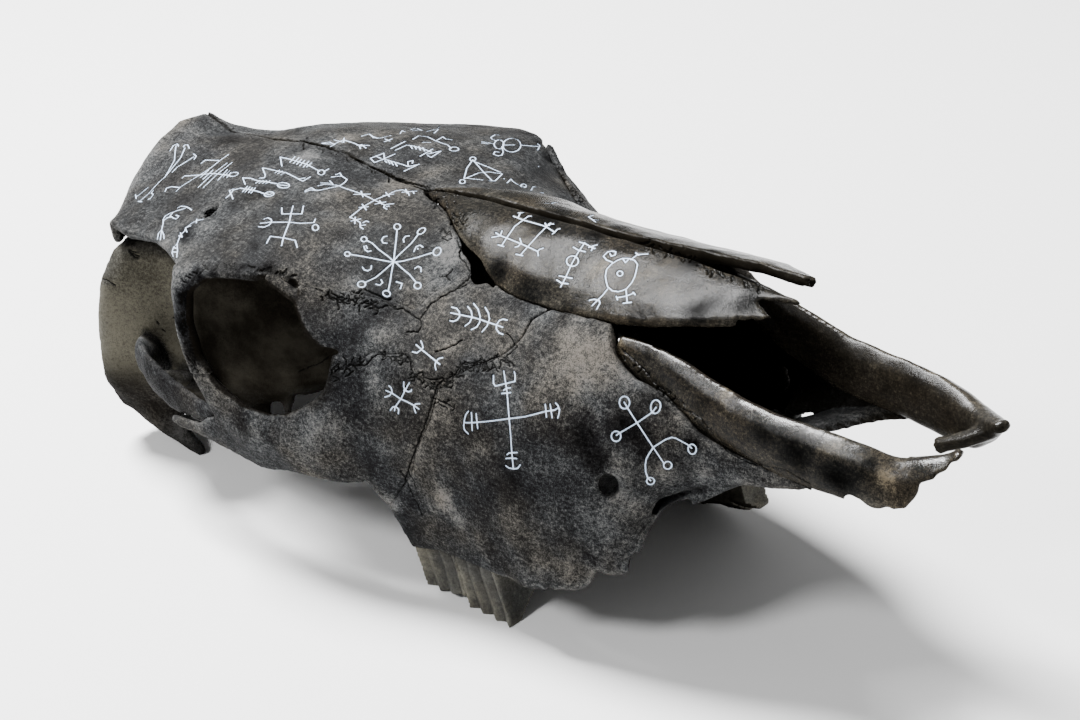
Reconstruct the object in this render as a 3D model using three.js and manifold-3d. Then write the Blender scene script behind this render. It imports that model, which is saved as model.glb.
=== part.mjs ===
// A polled cow's skull without its lower jaw, bone by bone, in millimetres.
// Each paired bone is modelled once, for the left side, and mirrored for the right.
//
// Points are written [s, x, z] in the skull's own anatomical directions:
//   s  how far forward, from the back of the braincase towards the nose
//   x  how far sideways from the midline
//   z  how high, with the face level
// The last step tips the skull nose-up, onto its cheek teeth and its jugular processes.
import * as THREE from 'three';
import { LoftGeometry } from 'three/addons/geometries/LoftGeometry.js';
import { mergeVertices } from 'three/addons/utils/BufferGeometryUtils.js';
import Module from 'manifold-3d';

const wasm = await Module();
wasm.setup();

// Driving sizes
const MIDDLE_S = 222; // the station that is the middle of the skull's length
const BONE = 4; // thickness of the flat bones of the face
const POLL_BONE = 8; // thickness of the roof at the poll
const SUTURE = 0.5; // gap between two bones at a suture
const TOOTH_FOOT = [234, -23.5]; // s and z of the lowest cheek tooth
const JUGULAR_FOOT = [22, 34.6]; // s and z of the tip of the jugular process
const POLL_LEAN = 12; // how much lower the poll's crest is on the left
const NASAL_LIFT = 5; // how much the tip of the left nasal bone has sprung up
const FOOT = 5; // width of the flat that the molars stand on
const SOCKET_GAP = 0.5; // between a tooth and its socket

const at = ([s, x, z]) => new THREE.Vector3(x, MIDDLE_S - s, z);

// Solids from geometry, and back

function solid(geometry) {
  const flat = geometry.index ? geometry.toNonIndexed() : geometry;
  const bare = new THREE.BufferGeometry();
  bare.setAttribute('position', flat.getAttribute('position'));
  const merged = mergeVertices(bare, 1e-3);
  const triVerts = new Uint32Array(merged.index.array);
  const vertProperties = merged.attributes.position.array;
  const made = new wasm.Manifold(new wasm.Mesh({ numProp: 3, vertProperties, triVerts }));
  if (made.volume() > 0) return made;
  triVerts.reverse();
  return new wasm.Manifold(new wasm.Mesh({ numProp: 3, vertProperties, triVerts }));
}

const join = (first, ...rest) => rest.reduce((whole, piece) => whole.add(piece), first);
const cut = (first, ...rest) => rest.reduce((whole, piece) => whole.subtract(piece), first);

function largest(piece) {
  return piece.decompose().reduce((best, next) => (next.volume() > best.volume() ? next : best));
}

function geometryOf(piece, mirrored) {
  const { numProp, vertProperties, triVerts } = piece.getMesh();
  const positions = new Float32Array((vertProperties.length / numProp) * 3);
  for (let i = 0; i < positions.length / 3; i++) {
    positions.set(vertProperties.subarray(i * numProp, i * numProp + 3), i * 3);
    if (mirrored) positions[i * 3] *= -1;
  }
  const corners = new Uint32Array(triVerts);
  if (mirrored) corners.reverse();
  const geometry = new THREE.BufferGeometry();
  geometry.setAttribute('position', new THREE.BufferAttribute(positions, 3));
  geometry.setIndex(new THREE.BufferAttribute(corners, 1));
  geometry.computeVertexNormals();
  return geometry;
}

// Shapes

function spread(points, count) {
  const curve = new THREE.CatmullRomCurve3(points, false, 'centripetal');
  return Array.from({ length: count + 1 }, (_, i) => curve.getPoint(i / count));
}

// A smooth grid of points through rows of control points.
function smoothGrid(rows, along, across) {
  const ribs = rows.map((row) => spread(row.map(at), across));
  const columns = ribs[0].map((_, j) => spread(ribs.map((rib) => rib[j]), along));
  return Array.from({ length: along + 1 }, (_, i) => columns.map((column) => column[i]));
}

// A curved plate of bone: the grid is its outer face, and its inner face lies a thickness below.
// facing is a rough outward direction, which tells the two faces apart.
function plate(rows, { along, across, thickness = () => BONE, facing }) {
  const grid = smoothGrid(rows, along, across);
  const outward = new THREE.Vector3(...facing);
  const inner = grid.map((row, i) => row.map((p, j) => {
    const ahead = grid[Math.min(i + 1, along)][j].clone().sub(grid[Math.max(i - 1, 0)][j]);
    const aside = grid[i][Math.min(j + 1, across)].clone().sub(grid[i][Math.max(j - 1, 0)]);
    const normal = ahead.cross(aside).normalize();
    if (normal.dot(outward) < 0) normal.negate();
    return p.clone().addScaledVector(normal, -thickness(i / along, j / across));
  }));
  return solid(closedLoft(grid.map((row, i) => [...row, ...inner[i].slice().reverse()])));
}

// A loft through closed rings, each end closed by a strip that zigzags across the ring.
function closedLoft(sections) {
  const loft = new LoftGeometry(sections, { closed: true });
  const positions = [...loft.toNonIndexed().getAttribute('position').array];
  const add = (corners, turned) => {
    if (turned) corners.reverse();
    corners.forEach((p) => positions.push(p.x, p.y, p.z));
  };
  const close = (ring, turned) => {
    for (let first = 0, last = ring.length - 1; last - first > 1; first++) {
      add([ring[first], ring[first + 1], ring[last]], turned);
      if (last - first < 3) break;
      add([ring[first + 1], ring[last - 1], ring[last]], turned);
      last--;
    }
  };
  close(sections[0], true);
  close(sections.at(-1), false);
  const geometry = new THREE.BufferGeometry();
  geometry.setAttribute('position', new THREE.Float32BufferAttribute(positions, 3));
  return geometry;
}

// A bar of oval section through stations [s, x, z, wide, thick]: wide is the full width in the
// direction nearest to broad, and thick the full width across that.
function bar(stations, { steps = stations.length * 2, sides = 8, broad = [0, 0, 1] } = {}) {
  const path = new THREE.CatmullRomCurve3(stations.map(at), false, 'centripetal');
  const sizes = new THREE.CatmullRomCurve3(
    stations.map(([, , , wide, thick]) => new THREE.Vector3(wide, thick, 0)), false, 'centripetal');
  const reference = new THREE.Vector3(...broad);
  const sections = Array.from({ length: steps + 1 }, (_, i) => {
    const centre = path.getPoint(i / steps);
    const heading = path.getTangent(i / steps);
    const first = reference.clone().addScaledVector(heading, -reference.dot(heading)).normalize();
    const second = heading.clone().cross(first);
    const size = sizes.getPoint(i / steps);
    return Array.from({ length: sides }, (_, k) => {
      const angle = (k / sides) * Math.PI * 2;
      return centre.clone()
        .addScaledVector(first, (Math.cos(angle) * size.x) / 2)
        .addScaledVector(second, (Math.sin(angle) * size.y) / 2);
    });
  });
  return solid(closedLoft(sections));
}

function egg(centre, [long, wide, high], segments) {
  const geometry = new THREE.SphereGeometry(1, segments, Math.round(segments * 0.7));
  geometry.scale(wide, long, high);
  geometry.translate(...at(centre).toArray());
  return solid(geometry);
}

// A straight-sided block inside an outline of points, along a line through it.
function prism(outline, line, from, to) {
  const turn = new THREE.Quaternion().setFromUnitVectors(line, new THREE.Vector3(0, 0, 1));
  const flat = outline.map((p) => p.clone().applyQuaternion(turn));
  const shape = new THREE.Shape(flat.map((p) => new THREE.Vector2(p.x, p.y)));
  const geometry = new THREE.ExtrudeGeometry(shape, { depth: to - from, bevelEnabled: false });
  geometry.translate(0, 0, from);
  geometry.applyQuaternion(turn.invert());
  return solid(geometry);
}

// Roof: half of the forehead, from the poll to the root of the nose, each row running from the
// midline out to the temporal line or the orbit's upper rim

const ROOF = [
  [[22, 0.4, 166], [18, 14, 165], [16, 30, 160], [16, 46, 154], [26, 61, 148], [40, 72, 147]],
  [[26, 0.4, 180], [23, 14, 180.5], [20, 29, 174], [20, 45, 164], [30, 61, 155], [42, 73.5, 151.5]],
  [[34, 0.4, 186.5], [30, 14, 187], [27, 28, 180.5], [28, 44, 169.5], [36, 61, 160], [44, 74, 157.5]],
  [[52, 0.4, 175], [52, 15, 177.5], [52, 30, 175], [53, 47, 167], [56, 63, 160], [60, 76, 154]],
  [[81, 0.4, 171], [81, 15, 171.5], [81, 30, 168], [82, 48, 163], [83, 65, 157], [84, 78, 152]],
  [[108, 0.4, 168.5], [108, 15, 169], [108, 32, 166], [107, 50, 161], [104, 68, 155], [101, 83, 149]],
  [[134, 0.4, 162], [134, 15, 163], [134, 32, 161], [133, 52, 157], [131, 75, 151], [128, 94.5, 143.5]],
  [[151, 0.4, 155], [151, 15, 156], [151, 32, 156], [151, 52, 153], [149, 72, 149], [147, 90, 143.5]],
  [[167, 0.4, 149], [167, 15, 150], [167, 31, 150], [166, 49, 149], [164, 67, 146], [161, 87, 141]],
  [[185, 0.4, 144], [185, 14, 144], [185, 28, 143], [183, 44, 142], [178, 60, 140], [171, 81, 137]],
  [[205, 0.4, 139], [207, 10, 139], [207, 24, 136.5], [203, 38, 133.5], [194, 54, 131.5], [180, 74, 131]],
  [[226, 0.4, 133], [229, 10, 133], [231, 22, 129], [227, 34, 122], [214, 50, 118.5], [191, 69, 125]],
  [[243, 0.4, 129], [246, 10, 128], [247, 22, 124], [242, 34, 117], [231, 48, 107], [206, 64, 114]],
];

// Cheek: the side of the face, from the orbit's front rim to the tongue of bone under the
// premaxilla, each row running from the top edge down to the tooth sockets

const CHEEK = [
  [[181, 76, 130], [187, 80.5, 112], [197, 78.5, 99], [190, 84, 78], [189, 86, 60], [197.5, 77, 33],
    [194, 68.5, 9]],
  [[197, 66, 124], [206, 70, 108], [212, 73, 97], [213, 78, 77], [212, 80, 60], [208, 74, 30],
    [211, 68, 9]],
  [[219, 53, 112], [226, 60, 104], [231, 69, 91], [235, 72.5, 75], [233, 75, 58], [230, 71.5, 29],
    [229, 68, 6]],
  [[243, 33, 121.5], [248, 47, 109], [253, 62, 91], [254, 69, 74], [252, 71.5, 56], [248, 70.5, 26],
    [247, 67.5, 2]],
  [[262, 36, 112.5], [267, 45, 104.5], [271, 56, 91], [272, 64.5, 73], [270, 68.5, 54], [266, 68.5, 24],
    [263, 66, -1]],
  [[284, 36.8, 107.5], [288, 44.5, 99.5], [291, 53, 86], [292, 60.5, 69], [290, 64.5, 51], [284, 64.5, 21],
    [280, 62.5, -4]],
  [[305, 36.2, 104.5], [309, 43, 96], [310, 50, 82], [310, 55.5, 66], [308, 59, 49], [301, 59.5, 21],
    [297, 57.5, 0]],
  [[319, 34, 101.5], [322, 40, 93], [325, 45.5, 78], [325, 50, 64], [323, 54, 47], [315, 52.5, 24],
    [309, 50, 8]],
  [[328, 31, 97], [331, 36, 88], [334, 41, 75], [336, 45, 62], [334, 46.5, 48], [328, 44, 36],
    [324, 41, 31]],
  [[342, 31, 86], [345, 35, 77], [348, 38, 68], [351, 40, 60], [352, 40.5, 52], [348, 38.5, 43],
    [343, 36, 36]],
  [[371, 33, 62], [371, 35, 58], [371, 36.5, 54], [371, 37, 50], [370, 36.5, 46], [369, 35, 40],
    [366, 33, 36.5]],
  [[402, 33.5, 50], [402, 33.5, 48], [402, 33.5, 46], [402, 33.5, 44], [401, 33, 42], [401, 32.7, 40],
    [400, 32.5, 38.5]],
];

// Cheekbone under the orbit, each row running from the orbit's rim down to the lower edge

const CHEEKBONE = [
  [[201, 78, 98], [204, 79, 87], [203, 81, 75], [198, 83, 60], [191, 81, 44]],
  [[177, 88, 80], [180, 90.5, 74], [181, 91, 67], [181, 90, 57], [179, 86, 46]],
  [[156, 94.5, 78], [158, 96.5, 73], [160, 96.5, 66], [160, 94, 58.5], [160, 90, 50]],
  [[138, 97.5, 84], [137, 99, 77], [137, 98, 68], [136, 95, 60], [134, 91.5, 51]],
  [[124, 97, 86], [122, 98, 80], [121, 97, 74], [120, 96, 67], [119, 94, 59.3]],
  [[104, 95.5, 72], [104, 96.5, 70.5], [104, 96.5, 68.5], [104, 96, 66.5], [104, 94.5, 63.7]],
  [[81, 94.5, 73.8], [80.5, 95.2, 73], [80.5, 95.5, 71.5], [82, 95.2, 70], [85, 94.5, 68.5]],
];

// Wall that closes the orbit's front and inner side, from its upper edge down to the last molar

const ORBIT_WALL = [
  [[181, 77, 128], [190, 76, 108], [193, 77, 84], [192, 76, 58], [192, 70, 32]],
  [[176, 60, 136], [182, 60, 106], [187, 64, 82], [189, 64, 58], [191, 60, 32]],
  [[168, 45, 142], [169, 43, 106], [178, 49, 80], [184, 51, 58], [189, 50, 32]],
  [[153, 36, 146], [152, 31, 108], [163, 32, 80], [175, 36, 60], [185, 42, 34]],
];

const ORBIT_RIM = [
  [171, 82, 136], [158, 87, 139.5], [143, 91, 141], [131, 94.5, 139], [125, 96, 128], [122, 97, 114],
  [125, 97, 98], [134, 96, 86], [152, 93.5, 79.5], [171, 87.5, 80.5], [185, 83, 86], [194, 78, 96],
  [197, 76, 104], [189, 77.5, 113], [180, 77, 125],
];

// The bar behind the orbit: wide and thick are its section
const BEHIND_ORBIT = [
  [127, 93, 143, 15, 7], [121, 96, 128, 12, 6], [118, 97, 112, 10, 6], [120, 97, 98, 11, 6],
  [126, 96, 82, 17, 7],
];

// Palate between the tooth rows, from the midline out to the sockets

const PALATE = [
  [[232, 0.4, 24], [232, 18, 22], [232, 36, 16], [232, 50, 10]],
  [[262, 0.4, 26], [262, 18, 24], [262, 36, 17], [262, 50, 7]],
  [[292, 0.4, 29], [292, 17, 28], [292, 34, 21], [292, 48, 7]],
  [[318, 0.4, 33], [318, 15, 32], [319, 28, 27], [320, 42, 15]],
  [[342, 0.4, 37], [342, 12, 37], [342, 24, 36], [342, 35, 34]],
  [[372, 1, 40], [372, 10, 40], [372, 20, 39], [371, 32, 38]],
  [[396, 14, 41], [396, 20, 41], [396, 26, 41], [396, 31, 41]],
];

// The thick edge that holds the tooth sockets: wide is its height
const SOCKET_EDGE = [
  [190, 57, 22, 24, 18], [204, 57, 20, 24, 22], [229, 57, 18, 24, 22], [250, 56, 14, 24, 21],
  [272, 53, 9, 23, 20], [288, 47, 11, 20, 18], [299, 44, 16, 17, 13], [307, 42, 23, 11, 8],
  [318, 38, 32, 5, 4],
];

// Room for the nasal bones, as [s, x] seen from above
const NOSE_ROOM = [
  [181, -1], [184, 3.5], [206, 11], [218, 19], [237, 29.5], [245, 32], [257, 35.2], [270, 36.4],
  [282, 36.8], [303, 36.2], [318, 34.4], [328, 31.5], [342, 29.5], [420, 26], [420, -1],
];

// The sutures, each a jagged line on the surface, and the line along which it is cut
const FRONTAL_SUTURE = [
  [244, 29, 119], [236, 35.5, 118], [229, 43, 115], [225.5, 48, 112], [223.5, 52, 108], [215, 54.5, 113],
  [210, 57, 117], [205, 60, 120], [198.5, 64, 124], [189.5, 70, 125], [184, 73, 127], [180.5, 76, 130],
  [165, 84, 140],
];
const LACRIMAL_SUTURE = [
  [290, 34, 108], [279.5, 42, 105], [278, 47, 99], [274, 52, 96], [266.5, 57, 92], [261, 60, 92],
  [254.5, 63.5, 90], [247, 66, 88], [240, 69, 86], [233, 69, 91], [230, 68.5, 97], [226, 68.5, 99.5],
  [219, 71, 100], [212, 72.5, 101.5], [207, 75, 98], [200, 78, 96.5], [186, 88, 94],
];
const CHEEKBONE_SUTURE = [
  [243, 66, 92], [242, 70, 82], [239.5, 73, 74], [234, 74.5, 67], [228, 75, 59.5], [221, 76, 50],
  [212, 76, 42.5], [198.5, 76, 32.5], [176, 80, 26],
];
const PREMAXILLA_SUTURE = [
  [314, 26, 112], [317, 33.5, 103], [317.5, 36, 97], [319.5, 38.5, 91], [323, 39.5, 86], [327.5, 40, 81],
  [340, 39.5, 75], [352, 38.5, 60], [366, 37.5, 52.5], [379, 36.5, 47.5], [396, 34.5, 40], [412, 32, 35],
];

const UP = new THREE.Vector3(0, 0, 1);
const OUT = new THREE.Vector3(1, 0, 0);
const LACRIMAL_LINE = new THREE.Vector3(0.8, -0.35, 0.5).normalize();
const PREMAXILLA_LINE = new THREE.Vector3(0.9, -0.3, 0.35).normalize();
const FRONTAL_FLOOR = 97; // z down to which the frontal walls the orbit

// The left half of the face in one shell, with its openings, before its sutures part it
function faceShell(lean) {
  const thickness = (u, v) => (u < 0.25 ? POLL_BONE - v * (POLL_BONE - 3) : BONE);
  const roof = plate(leaned(ROOF, lean), { along: 12, across: 5, facing: [0, 0, 1], thickness });
  const cheek = plate(CHEEK, { along: 11, across: 6, facing: [1, -0.2, 0.2] });
  const cheekbone = plate(CHEEKBONE, { along: 6, across: 4, facing: [1, 0, 0], thickness: () => 6 });
  const orbitWall = plate(ORBIT_WALL, { along: 3, across: 4, facing: [0, 1, 0], thickness: () => 3 });
  const palate = plate(PALATE, { along: 5, across: 2, facing: [0, 0, -1], thickness: () => 3 });
  const sockets = bar(SOCKET_EDGE, { steps: 7, sides: 6 });
  const behindOrbit = bar(BEHIND_ORBIT, { broad: [0, 1, 0], steps: 5, sides: 6 });
  const whole = join(roof, cheek, cheekbone, orbitWall, palate, sockets, behindOrbit, orbitRim());
  const holes = Object.values(TEETH).map((row) => socket(row));
  return cut(whole, otherHalf(), orbitHollow(), noseRoom(), browHole(), cheekHole(), archRoom(), ...holes);
}

// The poll leans: on one side its crest is lower, as [s, x, z] moved down by up to lean
function leaned(rows, lean) {
  const { smoothstep } = THREE.MathUtils;
  return rows.map((row) => row.map(([s, x, z]) => {
    const near = smoothstep(75 - s, 0, 35) * smoothstep(z, 110, 142);
    const aside = smoothstep(x, 0, 16) * (1 - 0.6 * smoothstep(x, 35, 70));
    return [s, x, z - lean * near * aside];
  }));
}

// Everything on the far side of the midline suture
function otherHalf() {
  const corners = [[-80, 0, -60], [520, 0, -60], [520, 0, 260], [-80, 0, 260]];
  return prism(corners.map(at), OUT, -120, SUTURE / 2);
}

function orbitRim() {
  const loop = new THREE.CatmullRomCurve3(ORBIT_RIM.map(at), true, 'centripetal');
  const round = new THREE.Shape();
  round.absellipse(0, 0, 2.6, 2.6, 0, Math.PI * 2);
  const options = { steps: 14, curveSegments: 2, extrudePath: loop };
  return solid(new THREE.ExtrudeGeometry(round, options));
}

const orbitHollow = () => egg([158, 109, 109], [35, 34, 28.5], 10);

// Open to the front, cut straight down through the top of the face
function noseRoom() {
  return prism(NOSE_ROOM.map(([s, x]) => at([s, x, 0])), UP, 96, 200);
}

// The place on the cheekbone where the braincase's tongue of bone lies
const archRoom = () => bar(grown(ARCH_ROOT, 1.2), ARCH_SHAPE);

function grown(stations, more) {
  return stations.map(([s, x, z, wide, thick]) => [s, x, z, wide + more, thick + more]);
}

const browHole = () => bar([[112, 62, 175, 7, 9], [104, 58, 140, 7, 9]], { steps: 1, broad: [0, 1, 0] });

const cheekHole = () => bar([[330, 66, 46, 11, 9], [302, 46, 40, 11, 9]], { steps: 1 });

// The two parts of a piece, inside and outside a block whose edge is a suture, with a gap between
function parted(piece, outline, line, from, to) {
  const points = outline.map(at);
  const kept = piece.intersect(prism(points, line, from + SUTURE / 2, to));
  const rest = cut(piece, prism(points, line, from - SUTURE / 2, to));
  return [kept, rest];
}

// A thin wall that stands along a suture, to part the bones on its two sides
function kerf(points, line) {
  const path = points.map(at);
  const levels = path.map((p) => p.dot(line));
  const sides = path.map((p, i) => {
    const heading = path[Math.min(i + 1, path.length - 1)].clone().sub(path[Math.max(i - 1, 0)]);
    return heading.cross(line).setLength(SUTURE / 2);
  });
  const there = path.map((p, i) => p.clone().add(sides[i]));
  const back = path.map((p, i) => p.clone().sub(sides[i])).reverse();
  return prism([...there, ...back], line, Math.min(...levels) - 60, Math.max(...levels) + 30);
}

function faceBones(lean) {
  const kerfs = [
    kerf(FRONTAL_SUTURE, UP), kerf(LACRIMAL_SUTURE, LACRIMAL_LINE), kerf(CHEEKBONE_SUTURE, OUT),
    kerf(PREMAXILLA_SUTURE, PREMAXILLA_LINE),
  ];
  const shell = faceShell(lean);
  const [frontal, below] = parted(cut(shell, kerfs[0]), [
    ...FRONTAL_SUTURE, [130, 130, 140], [-30, 130, 140], [-30, -10, 140], [244, -10, 140],
  ], UP, FRONTAL_FLOOR, 260);
  const [, behind] = parted(cut(below, kerfs[3]), [
    ...PREMAXILLA_SUTURE, [460, 20, 60], [420, 30, 140],
  ], PREMAXILLA_LINE, 95, 300);
  const seated = cut(behind, bar(grown(PREMAXILLA, 1), PREMAXILLA_SHAPE));
  const [lacrimal, rest] = parted(cut(seated, kerfs[1]), [
    ...LACRIMAL_SUTURE, [150, 110, 110], [150, 95, 160], [230, 60, 170], [290, 30, 150],
  ], LACRIMAL_LINE, -300, 300);
  const [zygomatic, maxilla] = parted(cut(rest, kerfs[2]), [
    ...CHEEKBONE_SUTURE, [60, 100, 26], [60, 100, 130], [200, 100, 130], [243, 66, 110],
  ], OUT, 62, 300);
  return {
    frontal: largest(frontal),
    lacrimal: largest(lacrimal),
    zygomatic: largest(zygomatic),
    maxilla: largest(maxilla),
  };
}

// Nasal bone, each row running from the midline out to the free edge

const NASAL = [
  [[185, 1.3, 144.7], [187, 1.9, 144.5], [189.5, 2.8, 144.2], [192, 3.8, 143.9], [194.5, 4.9, 143.4]],
  [[204, 1.6, 143], [206, 5, 142.6], [208, 8, 142], [210, 11, 140.8], [212, 14.2, 138.8]],
  [[222, 1.7, 140], [224, 7, 139.7], [226, 13, 138.5], [228, 19, 135.5], [229.5, 24.8, 131.5]],
  [[242, 2, 135.5], [243, 10, 135], [244, 19, 132], [245, 26, 128], [245, 31.2, 123]],
  [[262, 2.2, 131.5], [262, 11, 130], [261, 20, 126], [259, 28, 121], [257, 34.5, 114]],
  [[286, 2.5, 126.4], [285, 11, 124.6], [284, 20, 120.3], [283, 29, 115.5], [282, 36, 108.5]],
  [[310, 2.8, 121], [309, 11, 119.2], [308, 20, 114.8], [306, 28, 110.8], [303, 35.4, 105]],
  [[336, 3.2, 114.6], [335, 10, 113], [333, 18, 109.6], [330, 26, 106.3], [327, 33, 101.5]],
  [[362, 4, 107.6], [361, 9, 106.4], [359, 14, 104.8], [357, 19.5, 102.6], [355, 25.3, 99.6]],
  [[386.5, 4.5, 100], [379, 6.5, 101.2], [371.5, 8.5, 101.6], [376, 11, 99], [380.5, 13.2, 97]],
];

function nasal(lift) {
  const rows = NASAL.map((row) => row.map(([s, x, z]) => (
    [s, x, z + lift * THREE.MathUtils.smoothstep(s, 305, 385)])));
  return plate(rows, { along: 10, across: 4, facing: [0, 0, 1], thickness: () => 3.2 });
}

const PREMAXILLA = [
  [317, 34, 90, 12, 5], [326.5, 32.5, 85, 17, 7], [339, 31.5, 77.5, 22, 9.5], [353.5, 31.5, 68, 24, 11.5],
  [370.5, 31, 59, 24, 12.5], [390, 31, 53, 24, 13], [408, 29.5, 48, 24, 13.5], [423, 27, 42.5, 23, 13.5],
  [434, 22.5, 42, 17, 12.5], [444, 17, 45.5, 8, 9], [452.5, 12.5, 47.5, 3, 5],
];

const PREMAXILLA_SHAPE = { steps: 13, sides: 7 };

// The broken stump of the process that runs back along the palate from the premaxilla's tip
const PALATINE_STUMP = [[446, 16, 45, 6, 8], [436, 11, 42, 6, 8], [425, 8.5, 40, 5, 6]];

function premaxilla() {
  const body = bar(PREMAXILLA, PREMAXILLA_SHAPE);
  const stump = bar(PALATINE_STUMP, { steps: 2, sides: 5 });
  return join(body, stump);
}

// Braincase: rings from its rear face forward, each from the top midline round to the lower one

const BRAINCASE = [
  [[28, 0, 161], [27, 15, 161], [27, 30, 156], [29, 44, 150], [32, 58, 146], [29, 73, 141.5],
    [21, 75, 132], [12.5, 75.5, 118], [1, 75.5, 100], [-6, 75, 84], [-11, 73, 72], [-13, 66, 60],
    [-6, 50, 56], [-3, 20, 57], [-3, 0, 57]],
  [[38, 0, 162], [38, 15, 162], [38, 30, 157], [40, 44, 151], [44, 58, 145], [43, 71, 140],
    [34, 78, 128], [22, 79, 111], [11, 79, 93], [4, 78, 78], [0, 74, 66], [0, 62, 56], [4, 44, 52],
    [5, 20, 52], [5, 0, 52]],
  [[50, 0, 163], [50, 15, 163], [50, 30, 160], [50, 44, 153], [52, 56, 145], [49, 62, 134], [43, 64, 122],
    [37, 64, 108], [31, 63, 94], [26, 65, 80], [22, 62, 64], [22, 50, 52], [22, 36, 48], [22, 18, 48],
    [22, 0, 48]],
  [[75, 0, 160], [75, 15, 160], [75, 30, 158], [74, 42, 152], [73, 50, 144], [72, 53, 132], [70, 55, 120],
    [68, 55.5, 107], [66, 56, 94], [64, 58, 82], [62, 56, 67], [60, 46, 55], [60, 34, 51], [60, 16, 51],
    [60, 0, 51]],
  [[100, 0, 157], [100, 14, 157], [100, 28, 156], [100, 38, 151], [100, 44, 142], [100, 47, 131],
    [100, 48, 119], [99, 47, 107], [98, 45, 95], [97, 43, 84], [96, 40, 73], [95, 36, 63], [95, 28, 57],
    [95, 14, 56], [95, 0, 56]],
  [[128, 0, 153], [128, 12, 153], [128, 24, 152], [128, 32, 147], [129, 36, 138], [130, 37, 127],
    [130, 37, 116], [130, 36, 105], [130, 34, 95], [130, 31, 86], [130, 27, 77], [130, 20, 71],
    [130, 13, 69], [130, 6, 68], [130, 0, 68]],
  [[150, 0, 145], [150, 9, 145], [151, 18, 144], [152, 24, 139], [153, 27, 130], [154, 27, 119],
    [155, 25, 110], [156, 22, 102], [157, 18, 95], [158, 14, 90], [158, 10, 86], [158, 7, 83], [158, 4, 82],
    [158, 2, 81], [158, 0, 81]],
];

const ARCH_ROOT = [
  [26, 60, 84, 30, 18], [38, 74, 91, 22, 12], [50, 82, 95, 19, 8], [62, 88, 90.5, 23, 6],
  [78, 90.5, 82.8, 20, 5.5], [92, 92.5, 80.4, 17, 5], [106, 94.5, 78.2, 13, 4.5], [121, 96, 78, 3, 3],
];
const ARCH_SHAPE = { steps: 7, sides: 6 };
const JAW_JOINT = [[44, 50, 72, 26, 12], [56, 64, 76, 26, 11], [64, 80, 84, 20, 9]];
const JUGULAR = [
  [-2, 58, 64, 30, 20], [6, 59, 55, 24, 14], [13, 58, 48, 17, 10], [20, 57, 41, 12, 7], [27, 56, 33, 8, 5],
];
const CONDYLE = [[2, 26, 62, 20, 22], [-10, 27, 74, 22, 26], [-8, 31, 92, 18, 20], [8, 36, 100, 14, 14]];
const BULLA = [[40, 38, 58, 20, 18], [54, 37, 51, 20, 16], [66, 35, 47, 9, 8], [72, 34, 44, 4, 4]];
const PTERYGOID_HOOK = [[90, 33, 64, 8, 7], [80, 34.5, 54, 6, 5], [73, 35, 42, 4, 4]];

// The thin plate that stands on the midline in front of the braincase, under the nasal bones
const ETHMOID_PLATE = [
  [140, 120], [150, 138], [176, 137], [192, 136], [214, 131], [236, 124], [250, 118], [250, 100],
  [200, 84], [140, 90],
];

// The scrolls of thin bone on both sides of that plate, filled in: their middle and half sizes
const ETHMOID_SCROLLS = { middle: [178, 0, 113], half: [30, 15, 21] };

// The room of the brain, wide behind and narrow in front, level when the skull stands: distances
// from its middle, ahead and up, and half its width
const BRAIN_MIDDLE = [78, 108.5];
const BRAIN_ROOMS = [
  { from: -42, to: 20, low: -30, high: 24, half: 36 },
  { from: 18, to: 42, low: -22, high: 21, half: 24 },
];

function brainRoom({ from, to, low, high, half }) {
  const level = Math.atan(tableSlope);
  const outline = [[from, low], [to, low], [to, high], [from, high]].map(([ahead, up]) => at([
    BRAIN_MIDDLE[0] + ahead * Math.cos(level) + up * Math.sin(level), 0,
    BRAIN_MIDDLE[1] - ahead * Math.sin(level) + up * Math.cos(level),
  ]));
  return prism(outline, OUT, -half, half);
}

function braincase() {
  const ringHalf = (row, lean) => spread(leaned([row], lean)[0].map(at), 9);
  const rings = BRAINCASE.map((row) => {
    const right = ringHalf(row, 0).slice(1, -1).reverse();
    return [...ringHalf(row, POLL_LEAN), ...right.map((p) => new THREE.Vector3(-p.x, p.y, p.z))];
  });
  const columns = rings[0].map((_, j) => spread(rings.map((ring) => ring[j]), 8));
  const outer = solid(closedLoft(Array.from({ length: 9 }, (_, i) => columns.map((column) => column[i]))));
  const left = [
    bar(ARCH_ROOT, ARCH_SHAPE),
    bar(JAW_JOINT, { steps: 2, sides: 6, broad: [0, 1, 0] }),
    bar(JUGULAR, { steps: 3, sides: 6, broad: [0, 1, 0] }),
    bar(CONDYLE, { steps: 3, sides: 6, broad: [1, 0, 0] }),
    bar(BULLA, { steps: 3, sides: 5, broad: [0, 1, 0] }),
    bar(PTERYGOID_HOOK, { steps: 2, sides: 4, broad: [0, 1, 0] }),
  ];
  const right = left.map((piece) => mirrored(piece));
  const ethmoid = prism(ETHMOID_PLATE.map(([s, z]) => at([s, 0, z])), OUT, -1, 1);
  const scrolls = egg(ETHMOID_SCROLLS.middle, ETHMOID_SCROLLS.half, 8);
  const foramen = bar([[60, 0, 94, 32, 38], [-30, 0, 82, 36, 42]], { steps: 1, sides: 8 });
  return cut(join(outer, ethmoid, scrolls, ...left, ...right), ...BRAIN_ROOMS.map(brainRoom), foramen);
}

function mirrored(piece) {
  return solid(geometryOf(piece, true));
}

// Palatine bone with the plate that runs up and back from it to the braincase

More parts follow.
